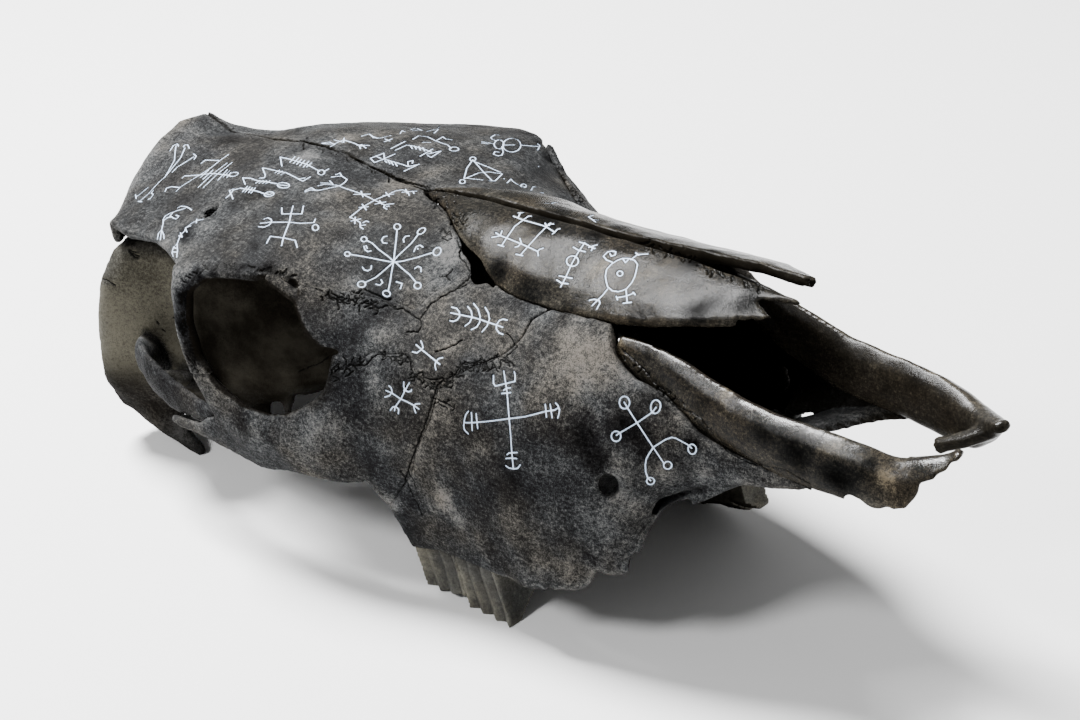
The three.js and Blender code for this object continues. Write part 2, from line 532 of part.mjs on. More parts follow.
const PALATINE_FLOOR = [
  [[172, 12, 30], [172, 22, 28], [174, 33, 22], [180, 42.6, 13]],
  [[195, 0, 26], [196, 16, 24], [198, 32, 18], [200, 42.6, 9]],
  [[231.5, 0, 24], [231.5, 16, 22], [231.5, 33, 15], [231.5, 42.6, 9]],
];
const PALATINE_SIDE = [
  [[84, 20, 47], [84, 21, 44], [85, 21.5, 41], [86, 22, 38]],
  [[100, 19, 51], [101, 20, 47], [102, 21.5, 43], [103, 23, 38]],
  [[122, 18, 60], [123, 21, 54], [124, 23, 47], [125, 25, 38]],
  [[148, 18, 74], [148, 22, 62], [149, 26, 49], [150, 29, 34]],
  [[174, 22, 84], [174, 26, 67], [174, 31, 47], [174, 36, 24]],
  [[200, 30, 80], [200, 33, 60], [200, 38, 40], [200, 42, 14]],
];

function palatine() {
  const floor = plate(PALATINE_FLOOR, { along: 4, across: 3, facing: [0, 0, -1], thickness: () => 3 });
  const side = plate(PALATINE_SIDE, { along: 6, across: 3, facing: [1, 0, 0], thickness: () => 3 });
  return cut(join(floor, side), otherHalf());
}

const VOMER = [[156, 65, 12], [190, 60, 20], [240, 50, 22], [300, 50, 16], [340, 50, 8]];

function vomer() {
  const top = VOMER.map(([s, z, deep]) => at([s, 0, z + deep / 2]));
  const low = VOMER.map(([s, z, deep]) => at([s, 0, z - deep / 2])).reverse();
  return prism([...top, ...low], OUT, -1.5, 1.5);
}

// Cheek teeth: from and to along s, their outer face, their width and the z of their lower end
const TEETH = {
  third_molar: { from: 190.5, to: 215.5, outer: 64.5, width: 19, low: -13.5 },
  second_molar: { from: 216.5, to: 239.5, outer: 64.5, width: 20, low: -60 },
  first_molar: { from: 240.5, to: 258, outer: 63, width: 19, low: -23.2 },
  fourth_premolar: { from: 259, to: 271, outer: 60, width: 17, low: -22.5 },
  third_premolar: { from: 272, to: 281, outer: 57, width: 16, low: -19.5 },
  second_premolar: { from: 282, to: 293, outer: 52.5, width: 13, low: -8 },
};
const TOOTH_ROOT = 16; // z of the upper end of every tooth
const LOST = {
  left: ['second_premolar'],
  right: ['first_molar', 'fourth_premolar', 'third_premolar', 'second_premolar'],
};

function tooth({ from, to, outer, width, low }) {
  const length = to - from;
  const ribs = length > 16 ? 3 : 2;
  const outside = Array.from({ length: ribs * 2 + 1 }, (_, i) => [
    from + (length * i) / (ribs * 2), outer - (i % 2 ? 2.4 : 0),
  ]);
  const inside = [[to, outer - width + 2], [from + length / 2, outer - width], [from, outer - width + 2]];
  const ring = (z) => [...outside, ...inside].map(([s, x]) => at([s, x, z]));
  return solid(closedLoft([ring(TOOTH_ROOT), ring(low)]));
}

// The hole that a tooth sits in, which is left empty where the tooth is lost
function socket({ from, to, outer, width }) {
  const outline = [
    [from - SOCKET_GAP, outer + SOCKET_GAP], [to + SOCKET_GAP, outer + SOCKET_GAP],
    [to + SOCKET_GAP, outer - width - SOCKET_GAP], [from - SOCKET_GAP, outer - width - SOCKET_GAP],
  ];
  return prism(outline.map(([s, x]) => at([s, x, 0])), UP, -80, TOOTH_ROOT + SOCKET_GAP);
}

const tableSlope = (JUGULAR_FOOT[1] - TOOTH_FOOT[1]) / (TOOTH_FOOT[0] - JUGULAR_FOOT[0]);
const tableHeight = (s) => TOOTH_FOOT[1] - (s - TOOTH_FOOT[0]) * tableSlope;

// Everything below the table, when the skull rests on it
function belowTable() {
  const edge = [[-60, 0], [500, 0], [500, -200], [-60, -200]];
  const outline = edge.map(([s, drop]) => at([s, 0, tableHeight(s) + drop]));
  return prism(outline, OUT, -150, 150);
}

// The inner part of a tooth's grinding face, worn away in a slope from FOOT inside its outer edge
function chewed({ from, to, outer, low }) {
  const level = (station) => Math.max(low, tableHeight(station));
  const rows = [from - 3, to + 3].map((station) => {
    const z = level(station);
    const inner = outer - FOOT - 20;
    return [[station, outer - FOOT, z - 1], [station, inner, z + 15], [station, inner, z - 40]];
  });
  return solid(closedLoft(rows.map((row) => row.map(at))));
}

// The whole skull

const BONE_COLOUR = 0x2f2d2a;
const TOOTH_COLOUR = 0x3a3a3c;

function named(name, geometry, color) {
  const material = new THREE.MeshStandardMaterial({ color, roughness: 0.55, metalness: 0 });
  const mesh = new THREE.Mesh(geometry, material);
  mesh.name = name;
  return mesh;
}

function skull() {
  const head = new THREE.Group();
  const shared = { premaxilla: premaxilla(), palatine: palatine() };
  const sides = { left: [POLL_LEAN, NASAL_LIFT], right: [0, 0] };
  for (const [side, [lean, lift]] of Object.entries(sides)) {
    const mirrored = side === 'right';
    const face = { ...faceBones(lean), nasal: nasal(lift), ...shared };
    for (const [name, piece] of Object.entries(face)) {
      head.add(named(`${name}_${side}`, geometryOf(piece, mirrored), BONE_COLOUR));
    }
    for (const [name, sizes] of Object.entries(TEETH)) {
      if (LOST[side].includes(name)) continue;
      const worn = cut(tooth(sizes), belowTable(), chewed(sizes));
      head.add(named(`${name}_${side}`, geometryOf(worn, mirrored), TOOTH_COLOUR));
    }
  }
  head.add(named('braincase', geometryOf(cut(braincase(), belowTable()), false), BONE_COLOUR));
  head.add(named('vomer', geometryOf(vomer(), false), BONE_COLOUR));
  return head;
}

const head = skull();
head.rotation.x = -Math.atan(tableSlope);
const part = new THREE.Group();
part.add(head);
const box = new THREE.Box3().setFromObject(part, true);
head.position.set(0, -(box.min.y + box.max.y) / 2, -box.min.z);

export default part;
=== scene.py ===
# %% [markdown]
# # A carved cow skull
# A cow's skull is two dozen bones that grew towards each other until their edges met. On a dry
# skull the seams stand open, so every bone here is a piece of its own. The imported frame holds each
# one as a plain faceted solid. This lesson turns those solids into bone: smooth where the animal
# had skin over it, crumbly at the seams, stained nearly black, and carved with pale staves.

import math
import random

import bmesh
import bpy
import numpy as np
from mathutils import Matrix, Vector, kdtree


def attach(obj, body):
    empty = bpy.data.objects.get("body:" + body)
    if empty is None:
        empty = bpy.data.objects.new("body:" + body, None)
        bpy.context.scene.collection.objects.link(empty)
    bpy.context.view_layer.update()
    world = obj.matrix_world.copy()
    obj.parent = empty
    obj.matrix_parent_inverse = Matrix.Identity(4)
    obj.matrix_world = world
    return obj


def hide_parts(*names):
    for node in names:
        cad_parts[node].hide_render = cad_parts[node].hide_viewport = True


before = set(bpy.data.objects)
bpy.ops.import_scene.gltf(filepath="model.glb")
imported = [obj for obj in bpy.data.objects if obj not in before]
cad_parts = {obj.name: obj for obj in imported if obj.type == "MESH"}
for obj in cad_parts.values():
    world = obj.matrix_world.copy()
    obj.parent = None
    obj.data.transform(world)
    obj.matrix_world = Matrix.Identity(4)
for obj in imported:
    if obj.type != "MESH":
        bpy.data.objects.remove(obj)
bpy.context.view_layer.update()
MM = 0.001


def placed(name, data):
    made = bpy.data.objects.new(name, data)
    bpy.context.scene.collection.objects.link(made)
    return made


print("bones and teeth in the frame:", len(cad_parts))

# %% [markdown]
# ## Where the photographer stood
# The signs and the cracks are placed by where they show in the picture, so the camera comes
# first. A long lens stands to the right of the nose and above it. A picture point becomes a ray
# from the lens, and the ray is followed until it meets bone.

# %% Camera
PICTURE = (1080, 720)
SENSOR = 36.0
LENS = 74.232
LENS_PLACE = (-0.5677, -0.61977, 0.52855)
LENS_TURN = (61.986, 4.293, -45.132)
camera_data = bpy.data.cameras.new("camera")
camera_data.lens = LENS
camera_data.sensor_width = SENSOR
camera_data.clip_start = 0.05
camera = placed("camera", camera_data)
camera.location = LENS_PLACE
camera.rotation_euler = [math.radians(a) for a in LENS_TURN]
bpy.context.scene.camera = camera
FOCAL = LENS / SENSOR * PICTURE[0]
TURN = camera.rotation_euler.to_matrix()


def ray(u, v):
    across = (u - PICTURE[0] / 2) / FOCAL
    up = (PICTURE[1] / 2 - v) / FOCAL
    return TURN @ Vector((across, up, -1)).normalized()


print("focal length in picture points:", round(FOCAL))

# %% [markdown]
# ## From a faceted solid to a bone
# A voxel remesh skins each solid with even small squares. Broad faces are then relaxed until the
# facets are gone, while edges are held, because relaxing an edge would eat it away. The weight for
# this comes from the normals: where neighbours look the same way, their mean stays long.

# %% Tools for meshes


def only(piece):
    bpy.ops.object.select_all(action="DESELECT")
    piece.select_set(True)
    bpy.context.view_layer.objects.active = piece


def finish_with(piece, kind, **settings):
    only(piece)
    modifier = piece.modifiers.new(kind.lower(), kind)
    for key, value in settings.items():
        setattr(modifier, key, value)
    bpy.ops.object.modifier_apply(modifier=modifier.name)


def read(rows, label, width=1, kind=np.float32):
    found = np.empty(len(rows) * width, kind)
    rows.foreach_get(label, found)
    return found.reshape(-1, width) if width > 1 else found


def corners(mesh):
    return read(mesh.vertices, "co", 3)


def normals(mesh):
    return read(mesh.vertex_normals, "vector", 3)


def edges(mesh):
    return read(mesh.edges, "vertices", 2, np.int32)


def set_corners(mesh, points):
    mesh.vertices.foreach_set("co", points.astype(np.float32).ravel())
    mesh.update()


def blurred(values, links, rounds):
    count = len(values)
    shares = np.bincount(links.ravel(), minlength=count).clip(1)
    for _ in range(rounds):
        total = np.stack([
            np.bincount(links[:, 0], values[links[:, 1], k], count)
            + np.bincount(links[:, 1], values[links[:, 0], k], count)
            for k in range(values.shape[1])], axis=1)
        values = (values + total / shares[:, None]) / 2
    return values


def ramp(values, low, high):
    t = np.clip((values - low) / (high - low), 0, 1)
    return t * t * (3 - 2 * t)


def keep(mesh, name, values):
    layer = mesh.attributes.new(name, "FLOAT", "POINT")
    layer.data.foreach_set("value", values.astype(np.float32))


# %% [markdown]
# ## Broken edges
# Thin edges of a dry skull break. Where the picture shows a break, the edge is first pulled out a
# little and then cut along its outline in the picture: a block that widens away from the lens
# takes the rest away. The teeth of the break are the points of the outline, and a small seeded
# shake between them. The root gap is the dark wedge where the nasal bone meets the forehead, and
# three bones give way to it. A grab names a picture point, the pull there and how far it reaches.

# %% Breaks, in picture points
BREAKS = {
    "premaxilla_right": [
        [(845, 493), (852, 495.5), (858, 498.5), (862, 500.5), (865, 504), (870, 507), (877, 508.5),
         (882, 508.5), (886, 506.5), (890, 507.5), (894, 509.5), (900, 508), (905, 507.5), (910, 501.5),
         (914, 497.5), (917, 493), (918.5, 489), (919, 482.5), (926, 481), (934, 479.5), (935, 477),
         (939, 473.5), (945, 471), (948, 468), (949.5, 463.5), (953, 461), (957, 461.5), (962, 456),
         (964, 452), (990, 452), (990, 545), (845, 545)],
    ],
    "maxilla_right": [
        [(500, 583), (510, 582.5), (520, 586), (530, 589), (540, 589), (546, 591), (548.5, 587),
         (551, 585.5), (553.5, 590), (557, 591.5), (560, 588.5), (566, 590), (572, 591), (577, 590.5),
         (584, 587.5), (590, 583), (594, 576.5), (596, 572), (599, 570.5), (602, 572), (605, 574.5),
         (614, 575), (626, 574.5), (629, 571), (629.5, 562), (632, 555), (635, 553), (640, 553.5),
         (642.5, 548), (645, 540), (650, 530), (656, 519), (662, 511), (670, 505.5), (680, 501), (692, 498),
         (700, 640), (500, 640)],
    ],
    "nasal_right": [
        [(830, 303), (797, 305), (791, 303), (785, 304.5), (778, 301.5), (770, 302), (764, 300),
         (757, 301.5), (759, 305), (764, 308), (766, 313), (772, 318), (765, 319), (760, 321), (752, 318.5),
         (744, 320), (736, 318), (736, 340), (830, 330)],
    ],
    "frontal_right": [
        [(459, 238), (463, 246), (462, 250), (468, 254), (467, 259), (473, 263), (471, 268), (474, 273),
         (469, 277), (470, 281), (463, 284), (458, 290), (500, 310), (512, 290), (490, 255), (470, 236)],
    ],
    "zygomatic_right": [
        [(296, 330), (309, 343), (316, 347.5), (325, 347), (335, 348.5), (343, 352.5), (336, 355),
         (329, 357), (331, 362), (329, 372), (326, 384), (318, 384), (300, 360)],
        [(208, 372), (219, 381.5), (230.4, 392), (240, 400), (249.6, 407), (266.7, 413), (286, 414),
         (300.8, 408.5), (313.6, 400.7), (321, 393), (326.5, 384), (322, 370), (270, 360), (216, 364)],
    ],
    "braincase": [
        [(271, 398), (278, 402), (287, 416), (270, 416)],
        [(292, 391), (314, 399), (304, 412), (296, 404)],
    ],
}
ROOT_GAP = [(463, 246), (471, 251), (481, 261), (489, 275), (500, 290), (497, 291.5), (487, 283),
            (475, 285), (471, 277), (473, 267), (468, 258), (460, 250)]
BREAKS["lacrimal_right"] = [BREAKS["zygomatic_right"][0], ROOT_GAP]
BREAKS["nasal_right"].append(ROOT_GAP)
BREAKS["frontal_right"].append(ROOT_GAP)
GRABS = {
    "maxilla_right": [((622, 552), (12, 14), 40), ((530, 575), (-2, 8), 34)],
    "premaxilla_right": [((895, 490), (5, 14), 44), ((935, 466), (6, 7), 26)],
    "lacrimal_right": [((322, 326), (-12, 0), 34), ((312, 306), (-9, 0), 22)],
    "frontal_right": [((306, 300), (-8, 2), 20)],
}
PIXELS_PER_METRE = 2350
NEAR_DEPTH, FAR_DEPTH = 0.5, 1.3
# Spacing, shake between the points and at them, and the longest side that is shaken
JAGGED = (4, 0.5, 0.5 / 3, 30)
CRINKLED = (2.5, 0.7, 0.7, math.inf)


def between(a, b, k, steps):
    return a[0] + (b[0] - a[0]) * k / steps, a[1] + (b[1] - a[1]) * k / steps


def shaken(path, dice, spacing, shake, shake_at_points, longest):
    found = []
    for a, b in zip(path, path[1:]):
        length = math.dist(a, b)
        steps = max(1, round(length / spacing)) if length < longest else 1
        for k in range(steps):
            u, v = between(a, b, k, steps)
            most = shake if k else shake_at_points
            found.append((u + dice.uniform(-most, most), v + dice.uniform(-most, most)))
    return found + [path[-1]]


def block(name, outline):
    made = bmesh.new()
    rings = []
    for depth in (NEAR_DEPTH, FAR_DEPTH):
        rings.append([made.verts.new(camera.location + ray(u, v) * depth) for u, v in outline])
    made.faces.new(rings[0])
    made.faces.new(rings[1][::-1])
    for k in range(len(outline)):
        after = (k + 1) % len(outline)
        made.faces.new([rings[0][k], rings[1][k], rings[1][after], rings[0][after]])
    bmesh.ops.recalc_face_normals(made, faces=made.faces)
    mesh = bpy.data.meshes.new(name)
    made.to_mesh(mesh)
    made.free()
    return placed(name, mesh)


def grabbed(piece, grabs):
    for (u, v), shift, reach in grabs:
        hit, place, _, _ = piece.ray_cast(camera.location, ray(u, v))
        if not hit:
            print("nothing to pull at", (u, v))
            continue
        pull = TURN @ Vector((shift[0], -shift[1], 0)) / PIXELS_PER_METRE
        points = corners(piece.data)
        gap = np.linalg.norm(points - np.array(place), axis=1)
        share = ramp(-gap, -reach / PIXELS_PER_METRE, 0)
        set_corners(piece.data, points + share[:, None] * np.array(pull))


def broken(piece, outlines):
    for k, outline in enumerate(outlines):
        dice = random.Random(len(outline) + k)
        cutter = block("cutter", shaken(outline, dice, *JAGGED))
        finish_with(piece, "BOOLEAN", object=cutter, operation="DIFFERENCE", solver="MANIFOLD")
        only(cutter)
        bpy.ops.object.delete()


print("broken edges:", sum(len(outlines) for outlines in BREAKS.values()))

# %% [markdown]
# ## The bones
# Each bone is copied from its solid, skinned with squares, relaxed, and grown by what relaxing
# took. Then it is pulled and broken where the picture shows it. The last steps add what the solid
# is too plain for: slow swellings left by growth, and the fine crumble of dry bone. Bones that
# were polished in handling get much less of the crumble.

# %% Turn a solid into bone
WELD = 0.002 * MM
LOOK_ROUNDS = 8
EDGE_EVENNESS, FACE_EVENNESS = 0.86, 0.97
WEIGHT_STEPS = 10
GROWTH_SIZE, GROWTH_DEPTH = 18 * MM, 1.2 * MM
CRUMBLE_SIZE = 2.0 * MM


def relax(piece, rounds):
    mesh = piece.data
    even = np.linalg.norm(blurred(normals(mesh), edges(mesh), LOOK_ROUNDS), axis=1)
    weight = ramp(even, EDGE_EVENNESS, FACE_EVENNESS)
    group = piece.vertex_groups.new(name="broad")
    for step in range(1, WEIGHT_STEPS + 1):
        members = np.nonzero(np.round(weight * WEIGHT_STEPS) == step)[0]
        group.add(members.tolist(), step / WEIGHT_STEPS, "REPLACE")
    finish_with(piece, "SMOOTH", vertex_group="broad", iterations=rounds, factor=0.5)
    piece.vertex_groups.clear()


def swell(piece, name, size, depth):
    pattern = bpy.data.textures.new(name, "CLOUDS")
    pattern.noise_scale = size
    pattern.noise_depth = 1
    finish_with(piece, "DISPLACE", texture=pattern, texture_coords="LOCAL", strength=depth, mid_level=0.5)


def bone_from(node, voxel, rounds, grow, crumble):
    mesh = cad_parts[node].data.copy()
    mesh.materials.clear()
    piece = placed(f"{node}_bone", mesh)
    only(piece)
    bpy.ops.object.mode_set(mode="EDIT")
    bpy.ops.mesh.select_all(action="SELECT")
    bpy.ops.mesh.remove_doubles(threshold=WELD)
    bpy.ops.object.mode_set(mode="OBJECT")
    finish_with(piece, "REMESH", mode="VOXEL", voxel_size=voxel * MM)
    relax(piece, rounds)
    finish_with(piece, "DISPLACE", strength=grow * MM, mid_level=0.0)
    grabbed(piece, GRABS.get(node, []))
    if node in BREAKS:
        broken(piece, BREAKS[node])
        finish_with(piece, "REMESH", mode="VOXEL", voxel_size=voxel * MM)
    finish_with(piece, "SMOOTH", iterations=2, factor=0.5)
    swell(piece, "growth", GROWTH_SIZE, GROWTH_DEPTH)
    swell(piece, "crumble", CRUMBLE_SIZE, crumble * MM)
    piece.data.shade_smooth()
    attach(piece, "root")
    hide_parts(node)
    return piece


SIDES = ("left", "right")
# Voxel size, rounds of relaxing, growth and crumble, with the sizes in millimetres
BONES = {
    "frontal": (1.2, 50, 0.75, 0.3),
    "lacrimal": (0.8, 50, 0.8, 0.3),
    "zygomatic": (0.9, 50, 0.5, 0.3),
    "maxilla": (1.05, 60, 0.7, 0.3),
    "nasal": (0.8, 60, 0.75, 0.1),
    "premaxilla": (0.8, 90, 0.9, 0.12),
    "palatine": (1.3, 30, 0.5, 0.3),
}
BRAINCASE = (1.4, 60, 0.4, 0.5)
VOMER = (1.4, 10, 0.4, 0.4)
TOOTH_SKIN = (0.6, 4, 0.3, 0.25)
bones = {}
for name, settings in BONES.items():
    for side in SIDES:
        bones[f"{name}_{side}"] = bone_from(f"{name}_{side}", *settings)
bones["braincase"] = bone_from("braincase", *BRAINCASE)
bones["vomer"] = bone_from("vomer", *VOMER)
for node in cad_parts:
    if "molar" in node:
        bones[node] = bone_from(node, *TOOTH_SKIN)
for name, piece in bones.items():
    print(name, "squares:", len(piece.data.polygons))

# %% [markdown]
# ## The carved signs
# The maker cut thin staves into the stained bone and left them pale. Each stroke is a chain of
# picture points. The ends of a stroke are where the knife went in, and rings were cut in one go.

# %% Strokes of the signs, in picture points
RING_SIDES = 16


def ring(u, v, wide, high, tilt=0):
    turn = math.radians(tilt)
    found = []
    for k in range(RING_SIDES + 1):
        angle = k * math.pi / (RING_SIDES / 2)
        a, b = wide * math.cos(angle), high * math.sin(angle)
        found.append((u + a * math.cos(turn) - b * math.sin(turn),
                      v + a * math.sin(turn) + b * math.cos(turn)))
    return found


SIGNS = {}
SIGNS["star"] = [
    [(393.6, 260.5), (394.6, 250.7), (395.8, 240.9), (396.9, 229.5)], ring(397.1, 226.2, 3.2, 2.9),
    [(393.6, 260.5), (397.1, 256.1), (406.1, 247.6), (411.4, 242.7), (418.6, 233.3)],
    ring(421.2, 230.6, 4.5, 2.5, -35), [(393.6, 261.9), (402.5, 260.7), (415.9, 257.4), (432.9, 252.1)],
    ring(436.9, 251.2, 4.5, 3.4, -50), [(395.4, 261.9), (402.5, 268.6), (409.6, 274.4), (415.9, 282)],
    ring(417.4, 285.3, 3.4, 3.2), [(393.4, 261.9), (391.3, 272.1), (390, 281.1), (388.2, 290)],
    ring(386.4, 293.3, 3.8, 2.9, 20), [(392.7, 262.3), (384.6, 269.5), (375.7, 277.1), (365, 282)],
    ring(361.4, 283.9, 4, 3), [(393.6, 261.4), (389.1, 261.2), (375.7, 258.6), (363.2, 256.1),
    (350.7, 254.1)], ring(347.3, 253.6, 2.7, 2.2), [(393.6, 261), (388.2, 256.1), (378.4, 248.9),
    (372.1, 242.7), (366.8, 240.2)], ring(363.8, 238.8, 2.9, 2.5), [(387.3, 235.8), (383.3, 236.4),
    (381.5, 239.6), (382.9, 242.5), (386.9, 242.9)], [(409.2, 235.5), (405.6, 235.8), (403.1, 238.7),
    (403.8, 241.8)], [(422.6, 246.7), (419.9, 244.7), (415.9, 246.2), (413.7, 251.2)], [(414.6, 268.3),
    (417.7, 265.9), (420.8, 267.2), (420.8, 271.4)], [(396.2, 281.5), (401.9, 283.3), (400.3, 288.4)],
    [(375.7, 283.8), (379.7, 284.8), (382.4, 282.4), (380.9, 279.3)], [(362.3, 266.8), (364.3, 269.6),
    (367.7, 270.5), (370.8, 268.6), (371.2, 265.4)], [(363.9, 245.8), (364.8, 249.2), (367.7, 251.3),
    (370.8, 250.4)], [(365.9, 245.2), (367.2, 248)], [(417.5, 248), (417.9, 248.8)],
]
SIGNS["four_armed_cross"] = [
    [(292.9, 205.5), (290.9, 213), (289.2, 221.7), (283.4, 236.6), (281.3, 245.3)], [(281.6, 207.2),
    (281.6, 213.4), (301.7, 213.4), (303.3, 205.5)], [(260.2, 222.9), (269.7, 221.8), (289.6, 221.7),
    (300.4, 222.9), (313.7, 222.1), (315.3, 218.4)], ring(315.3, 227.1, 3, 3), [(263.5, 218.8),
    (267.7, 217.3), (271, 218.9), (271.4, 221.7), (268.9, 224.6), (263.9, 226.7), (258.1, 226.2)],
    [(266.4, 242.8), (270.1, 235.8), (283, 237.4), (295, 239.9), (297.1, 247)],
]
SIGNS["fish_staves"] = [
    [(225.8, 197.4), (230.3, 193.5), (232.8, 189.8), (239.9, 187.7), (249.8, 189.1), (256.5, 190.6),
    (263.9, 193.1)], [(229.1, 189.8), (232.8, 198.5)], [(229.1, 190.2), (233.7, 188.5)], [(242.4, 191.4),
    (247.3, 185.8)], [(245, 191.6), (249.8, 186.4)], [(248.3, 192.2), (252.3, 187.1)], [(250.8, 192.7),
    (255.2, 187.3)], ring(268.9, 193.7, 4.8, 2.3, -8), [(265.6, 193.1), (268.9, 194.3), (272.2, 193.1)],
    [(245, 183.9), (242.4, 177.3), (250.7, 177.9), (258.1, 180.6), (264.8, 181), (276.4, 183.3)],
    [(255.6, 182.7), (259.8, 180)], [(258.9, 182.9), (263.1, 180)], [(262.4, 182.9), (266.4, 180)],
    [(265.7, 183.1), (269.7, 180.4)], ring(283.2, 184.8, 6, 2.7, 4), [(278.8, 184.4), (287.1, 185.2)],
    [(259.1, 177.7), (264.1, 177.3), (265.2, 174.8), (262.3, 167.4), (268.9, 168.6), (278, 170.7),
    (286.3, 172.3), (298.7, 178.6)], [(274.9, 172.5), (279.7, 169.4)], [(277.4, 173.3), (282.2, 170.7)],
    [(280.7, 174.4), (285.6, 171.7)], [(298.7, 178.8), (302.9, 180.6), (306.9, 178.3), (310.4, 176.2)],
    [(298.7, 178.3), (305, 177.5)], [(281.7, 165.7), (280.1, 156.6), (289.6, 158.7), (297.9, 161.1),
    (307, 164), (319.5, 170.7)], [(289.8, 161.7), (294.8, 156.2)], [(293.1, 163.1), (298.9, 157)],
    [(296.4, 164), (301.4, 158.7)], [(299.6, 165.3), (304.7, 159.7)], [(303.1, 166.7), (308.7, 160.7)],
    [(306.4, 166.5), (311.4, 162.4)], ring(321.1, 171.9, 3.3, 2.5), [(324.5, 170.8), (328.6, 168.4)],
]
SIGNS["crossed_staves"] = [
    [(305.1, 191.4), (310.2, 189.4), (318.9, 189.9), (332.7, 186.8), (339.8, 185.3)], [(305.1, 190.4),
    (311.2, 187.1), (315.3, 189.9)], [(317.9, 185.3), (324.5, 183.8), (332.7, 184.3), (339.8, 185.3)],
    [(320.4, 182.4), (330.6, 182.8)], [(329.6, 180.2), (332.9, 183.8)], [(331.1, 176.6), (336.7, 175.9),
    (341.8, 175.6), (346.9, 179), (344.9, 181.7), (339.8, 185.3)], [(335.7, 174.1), (339.8, 172.6),
    (341.8, 175.6)], [(340, 186), (348.9, 189.1), (362.3, 193.6), (373.9, 199.4), (380.6, 202.5),
    (384.6, 204.5)], [(353.8, 194), (369.9, 193.6)], [(361, 190.6), (362.9, 196.4)], [(349.8, 216.8),
    (363.2, 206.1), (375.7, 198.9), (388.2, 194), (395.4, 190.4), (402.5, 189.3), (407.9, 191.2)],
    [(361.9, 203.6), (366.1, 209.4)], [(359.2, 207.1), (368.4, 206.1)], [(385.7, 191.8), (389.3, 196.2)],
    [(383, 195.1), (393.8, 193.6)], [(375, 203.6), (385.5, 201.4)], [(379.5, 200.3), (381.8, 203.6)],
    [(402.1, 191.8), (407.9, 191.1), (417, 190.7)], [(405.6, 188.7), (407, 192.7)], [(407.9, 191.8),
    (409.2, 194.9)], [(413.2, 191.1), (413.9, 193.2)], [(384.6, 204.5), (390, 203.4), (394, 203.2)],
    [(384.6, 204.5), (383.6, 207), (386.9, 208.8)], [(386, 206.2), (389.3, 205.6)], [(349.8, 216.8),
    (355.2, 219), (360.1, 222.1)], [(350.9, 220.5), (360.5, 218.3)], [(355.2, 216.5), (354.7, 223.2)],
    [(360.1, 222.1), (360.1, 226.6), (363, 228.6)], [(361, 225), (365.4, 224.4)], [(362.8, 222.3),
    (365.9, 220.5), (368.8, 221.4)],
]
SIGNS["bundled_staves"] = [
    [(169.8, 150.5), (173.2, 145.2), (177.1, 143.4), (178.4, 145.8)], [(175.8, 145.3), (174.9, 150.5),
    (174.1, 160), (168.9, 169.4), (164.6, 176.8), (158.6, 181.9), (152.6, 188.4), (148.2, 193.5),
    (140.5, 200)], [(137.9, 200.9), (141.4, 201.3)], [(183.4, 146.6), (184.4, 144.5), (187.4, 144.3),
    (189.1, 147.9)], [(184.8, 147.5), (180.1, 157.8), (174.1, 165.1), (166.3, 174.6)], [(193.4, 153.5),
    (196, 155.7), (193.9, 158.9)], [(193.4, 156.5), (185.3, 161.7), (176.7, 166.9), (171.9, 172)],
    [(147.8, 187.1), (139.2, 194.4), (135.3, 196.6)], [(135.2, 194.4), (136, 198.3)], [(153, 190.1),
    (150.8, 192.7), (153, 194), (150, 198.3), (147.6, 198.9)],
]
SIGNS["combed_arrow"] = [
    [(228.3, 154.1), (219.7, 160.1), (211.1, 167), (202.5, 172.9), (196.5, 176.3), (180.1, 186.7),
    (175.8, 191.1)], [(164.8, 191.1), (166.3, 187.7), (171.5, 186.2), (178.6, 187.1)], [(181.8, 177.6),
    (184.4, 175.5), (199, 174.6), (211.1, 172.9), (219.7, 173.7), (228.3, 174.8)], [(200.9, 163),
    (205.1, 159.7), (218.8, 160)], [(226.8, 162.7), (211.1, 174.6), (198.2, 186.8)], [(231.8, 162.1),
    (217.1, 173.7), (202.9, 187.3)], [(212.8, 169.6), (202.9, 178.7)], [(208.5, 169.6), (200.1, 177.2)],
    [(227.3, 169), (217.6, 179.8)], [(229.3, 170.3), (223.1, 176.5)], [(230.7, 172), (226.6, 177.2)],
    ring(233.5, 173.9, 4.5, 1.9, -12),
]
SIGNS["curved_staves"] = [
    [(191.3, 209.6), (188.7, 207.5), (185.3, 206.2), (181, 205.8), (177.5, 207.5)], [(185.3, 207.8),
    (176.7, 210.3), (169.8, 212.9), (165, 215.5), (162.9, 218.9), (162.9, 222.8), (161.2, 229.7),
    (159.9, 239.6)], [(172.4, 212.5), (169.9, 215.2), (173.2, 217.8), (176, 218.5), (178.6, 215.9),
    (175.8, 214.7)], [(166.3, 217.2), (170.5, 216.6)], [(163.7, 219.8), (169.8, 215.9)], [(161.2, 229.7),
    (158.1, 233.1), (156.9, 239.2)], [(161.3, 230.1), (163.3, 234), (163.7, 238.3)], [(203.3, 218.9),
    (197.3, 219.8), (191.3, 222.8), (185.3, 228), (184.4, 230.6), (180.1, 234.9), (176.7, 243.5),
    (173.2, 246.9), (171.5, 252.1), (172.8, 256.8)], [(196.5, 218.7), (196, 222.6)], [(190.6, 225.4),
    (185.3, 227.1)], [(185.3, 228.4), (186.6, 231.6)], [(180.1, 232.3), (181.8, 236.8)], [(178.4, 235.3),
    (181.1, 236.4)], [(176.7, 243.5), (177.2, 250.4), (176.2, 256.8)], [(173.4, 247.1), (176, 248)],
    [(171.9, 251.4), (176.5, 251.7)],
]
